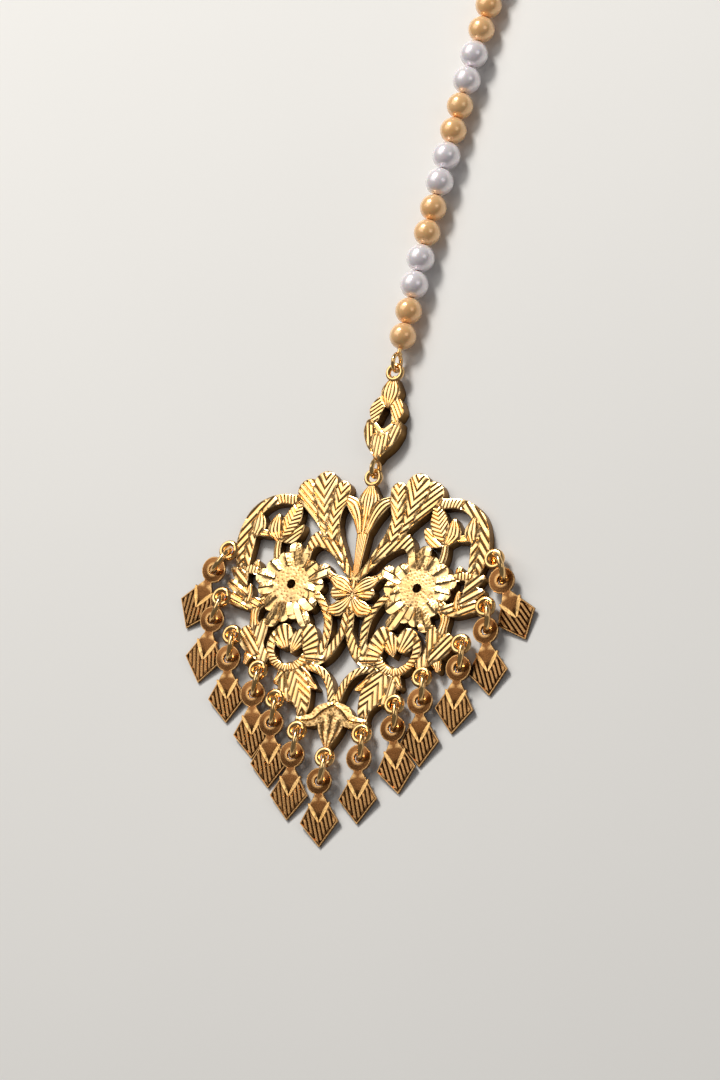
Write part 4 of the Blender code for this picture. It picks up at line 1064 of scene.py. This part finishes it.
def build_wire(centres, material):
    """The wire through the pearls, its two eyes and the wire wound round each eye's neck."""
    bm = bmesh.new()
    eyes = []
    for near, beyond, edge in ((centres[0], centres[1], WIRE_START),
                               (centres[-1], centres[-2], WIRE_END)):
        along = (near - beyond).normalized()
        along.z = 0
        along.normalize()
        centre = near + along * ((edge - near.y) / along.y - EYE_RADIUS - STRING_WIRE / 2)
        centre.z = WIRE_HEIGHT
        eyes.append((centre, along))
        across = along.cross(UP)
        ring(bm, centre, EYE_RADIUS, STRING_WIRE, across)
        foot = centre - along * (EYE_RADIUS - STRING_WIRE * COIL_SEAT)
        coil = []
        last = COIL_TURNS * COIL_PARTS
        for k in range(last + 1):
            t = 2 * math.pi * k / COIL_PARTS
            spot = foot - along * (STRING_WIRE * COIL_LENGTH * k / last)
            coil += around(spot, across, UP, COIL_RADIUS, [t])
        tube(bm, coil, COIL_WIRE, COIL_SIDES)
    necks = [centre - along * EYE_RADIUS for centre, along in eyes]
    line = [necks[0]] + [c.copy() for c in centres] + [necks[1]]
    for spot in line:
        spot.z = WIRE_HEIGHT
    tube(bm, line, STRING_WIRE / 2, WIRE_SIDES)
    piece("pearl_wire_round", bm, [material], "gold", "pearl_wire")
    return eyes[1]


def build_hook(eye, material):
    """The hook as its solid has it, of round wire."""
    centre_eye, along = eye
    reach = link_distance(HOOK_EYE_RADIUS, HOOK_WIRE, WIRE_HEIGHT, EYE_RADIUS, STRING_WIRE,
                          WIRE_HEIGHT)
    centre = centre_eye + along * reach
    across = Vector((along.y, -along.x, 0))
    gap = 2 * math.asin(HOOK_WIRE * HOOK_GAP / HOOK_EYE_RADIUS)
    route = around(centre, along, across, HOOK_EYE_RADIUS,
                   [gap + (2 * math.pi - gap) * k / RING_SIDES for k in range(RING_SIDES)])
    for k in range(SHANK_PARTS + 1):
        route.append(centre + along * (HOOK_EYE_RADIUS + HOOK_SHANK * k / SHANK_PARTS))
    turn = centre + along * (HOOK_EYE_RADIUS + HOOK_SHANK) + across * HOOK_BEND
    route += around(turn, -across, along, HOOK_BEND,
                    [math.pi * k / BEND_PARTS for k in range(1, BEND_PARTS)])
    for k in range(RETURN_PARTS + 1):
        route.append(turn + across * HOOK_BEND - along * HOOK_RETURN * k / RETURN_PARTS)
    run = HOOK_SHANK + HOOK_BEND
    for point in route:
        forward = (point - centre).dot(along) - HOOK_EYE_RADIUS
        share = min(max(forward / run, 0), 1)
        point.z = WIRE_HEIGHT + (HOOK_WIRE / 2 - WIRE_HEIGHT) * share
    bm = bmesh.new()
    tube(bm, route, HOOK_WIRE / 2, WIRE_SIDES)
    piece("hair_hook_round", bm, [material], "gold", "hair_hook")


# Floor, light and camera

FLOOR_HALF = 3
FLOOR_HEIGHT = -0.02 * MM
LIT_SPOT = Vector((0, 0.03, 0))


def build_floor():
    material, tree, shader = new_material("pale_floor")
    cloud = noise(tree, 9, Detail=3.0)
    tone = blend(tree, cloud, (0.78, 0.77, 0.75), (0.84, 0.83, 0.81))
    put(shader, {"Base Color": tone, "Roughness": 0.6})
    bm = bmesh.new()
    bmesh.ops.create_grid(bm, x_segments=1, y_segments=1, size=FLOOR_HALF)
    floor = add_mesh("floor", bm, [material])
    floor.location.z = FLOOR_HEIGHT


CAMERA_RIGHT = Vector((0.8963, 0.1659, -0.4112))
CAMERA_UP = Vector((-0.0278, 0.9466, 0.3213))
CAMERA_DISTANCE = 0.7
SUBJECT = Vector((0, 0, 2.0 * MM))  # the middle of the star on the heart
SUBJECT_PIXEL = (351.7, 593.2)
PICTURE = (720, 1080)
PIXELS_PER_MM = 7.3
SENSOR = 36.0


def build_camera():
    data = bpy.data.cameras.new("camera")
    data.sensor_fit = "VERTICAL"
    data.sensor_height = SENSOR
    data.lens = SENSOR * CAMERA_DISTANCE / (PICTURE[1] / PIXELS_PER_MM * MM)
    data.clip_start = 0.01
    camera = add("camera", data)
    right = CAMERA_RIGHT.normalized()
    back = right.cross(CAMERA_UP).normalized()
    up = back.cross(right)
    shift_right = (PICTURE[0] / 2 - SUBJECT_PIXEL[0]) / PIXELS_PER_MM * MM
    shift_up = (SUBJECT_PIXEL[1] - PICTURE[1] / 2) / PIXELS_PER_MM * MM
    middle = SUBJECT + right * shift_right + up * shift_up
    place = Matrix((right, up, back)).transposed().to_4x4()
    place.translation = middle + back * CAMERA_DISTANCE
    camera.matrix_world = place
    bpy.context.scene.camera = camera


def add_light(name, toward, distance, size, glow, colour=(1, 1, 1)):
    """A square soft light that looks at the middle of the ornament, given by how bright it looks."""
    data = bpy.data.lights.new(name, "AREA")
    data.shape = "SQUARE"
    data.size = size
    data.energy = glow * math.pi * size * size
    data.color = colour
    lamp = add(name, data)
    toward = Vector(toward).normalized()
    lamp.matrix_world = (Matrix.Translation(LIT_SPOT + toward * distance)
                         @ toward.to_track_quat("Z", "Y").to_matrix().to_4x4())


def build_light():
    world = bpy.data.worlds.new("studio")
    world.use_nodes = True
    put(world.node_tree.nodes["Background"], {"Color": (1.0, 0.98, 0.97, 1), "Strength": 0.12})
    bpy.context.scene.world = world
    bpy.context.scene.view_settings.view_transform = "Standard"
    add_light("soft", (-0.44, 0.28, 0.85), 0.6, 0.46, 1.6, (1.0, 0.98, 0.95))
    add_light("key", (-0.3, 0.62, 0.72), 0.8, 0.2, 38, (1.0, 0.98, 0.94))
    add_light("fill", (0.8, 0.1, 0.6), 0.7, 0.3, 1.2)


def main():
    bright = gold("cut_gold", (1.0, 0.69, 0.34), (0.95, 0.58, 0.22), (0.17, 0.07, 0.016),
                  (0.18, 0.30))
    stippled = gold("stippled_gold", (0.82, 0.54, 0.25), (0.74, 0.46, 0.18), (0.23, 0.10, 0.025),
                    (0.24, 0.34), stipple=True)
    # The drops are painted a dark brown gold as shade. Random patches make some drops lighter and some
    # darker, as painted light and shade, and a pale painted highlight runs along their outlines.
    shaded_drop_gold = gold("drop_gold_painted_shade", (0.31, 0.135, 0.045), (0.17, 0.068, 0.02), (0.035, 0.012, 0.004),
                  (0.20, 0.32), patches=140, edge=(1.0, 0.60, 0.24))
    # The drops' engraved strokes keep a bright gold, as painted glints.
    glint = gold("drop_glint", (1.0, 0.62, 0.25), (0.95, 0.54, 0.18), (0.20, 0.09, 0.02),
                 (0.18, 0.28))
    wire = gold("wire_gold", (1.0, 0.67, 0.30), (0.92, 0.54, 0.20), (0.20, 0.09, 0.02),
                (0.12, 0.22))
    white = pearl_material("white_nacre", (0.90, 0.83, 0.86), (1.0, 0.98, 0.97), (0.93, 0.85, 0.90))
    peach = pearl_material("peach_nacre", (1.0, 0.52, 0.19), (1.0, 0.76, 0.48), (1.0, 0.59, 0.26))
    # The sides and backs are painted a dark rough gold as shade; only their roughness is the metal's
    # own.
    shaded_side_gold = gold("side_gold_painted_shade", (0.32, 0.17, 0.045), (0.21, 0.11, 0.03), (0.09, 0.045, 0.015),
                 (0.38, 0.52))
    metals = [bright, stippled, shaded_side_gold, wire]
    build_heart(metals)
    build_connector(metals)
    for n in range(1, len(LOOPS) + 1):
        build_jump_ring(n, wire)
        build_drop(n, [shaded_drop_gold, glint, shaded_drop_gold])
    pearls = [(peach, "peach_pearl")] * 2 + [(white, "white_pearl")] * 2
    count = sum(name.startswith("pearl_") and name != "pearl_wire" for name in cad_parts)
    centres = [build_pearl(n + 1, *pearls[n % len(pearls)]) for n in range(count)]
    build_hook(build_wire(centres, wire), wire)
    build_floor()
    build_light()
    build_camera()


main()
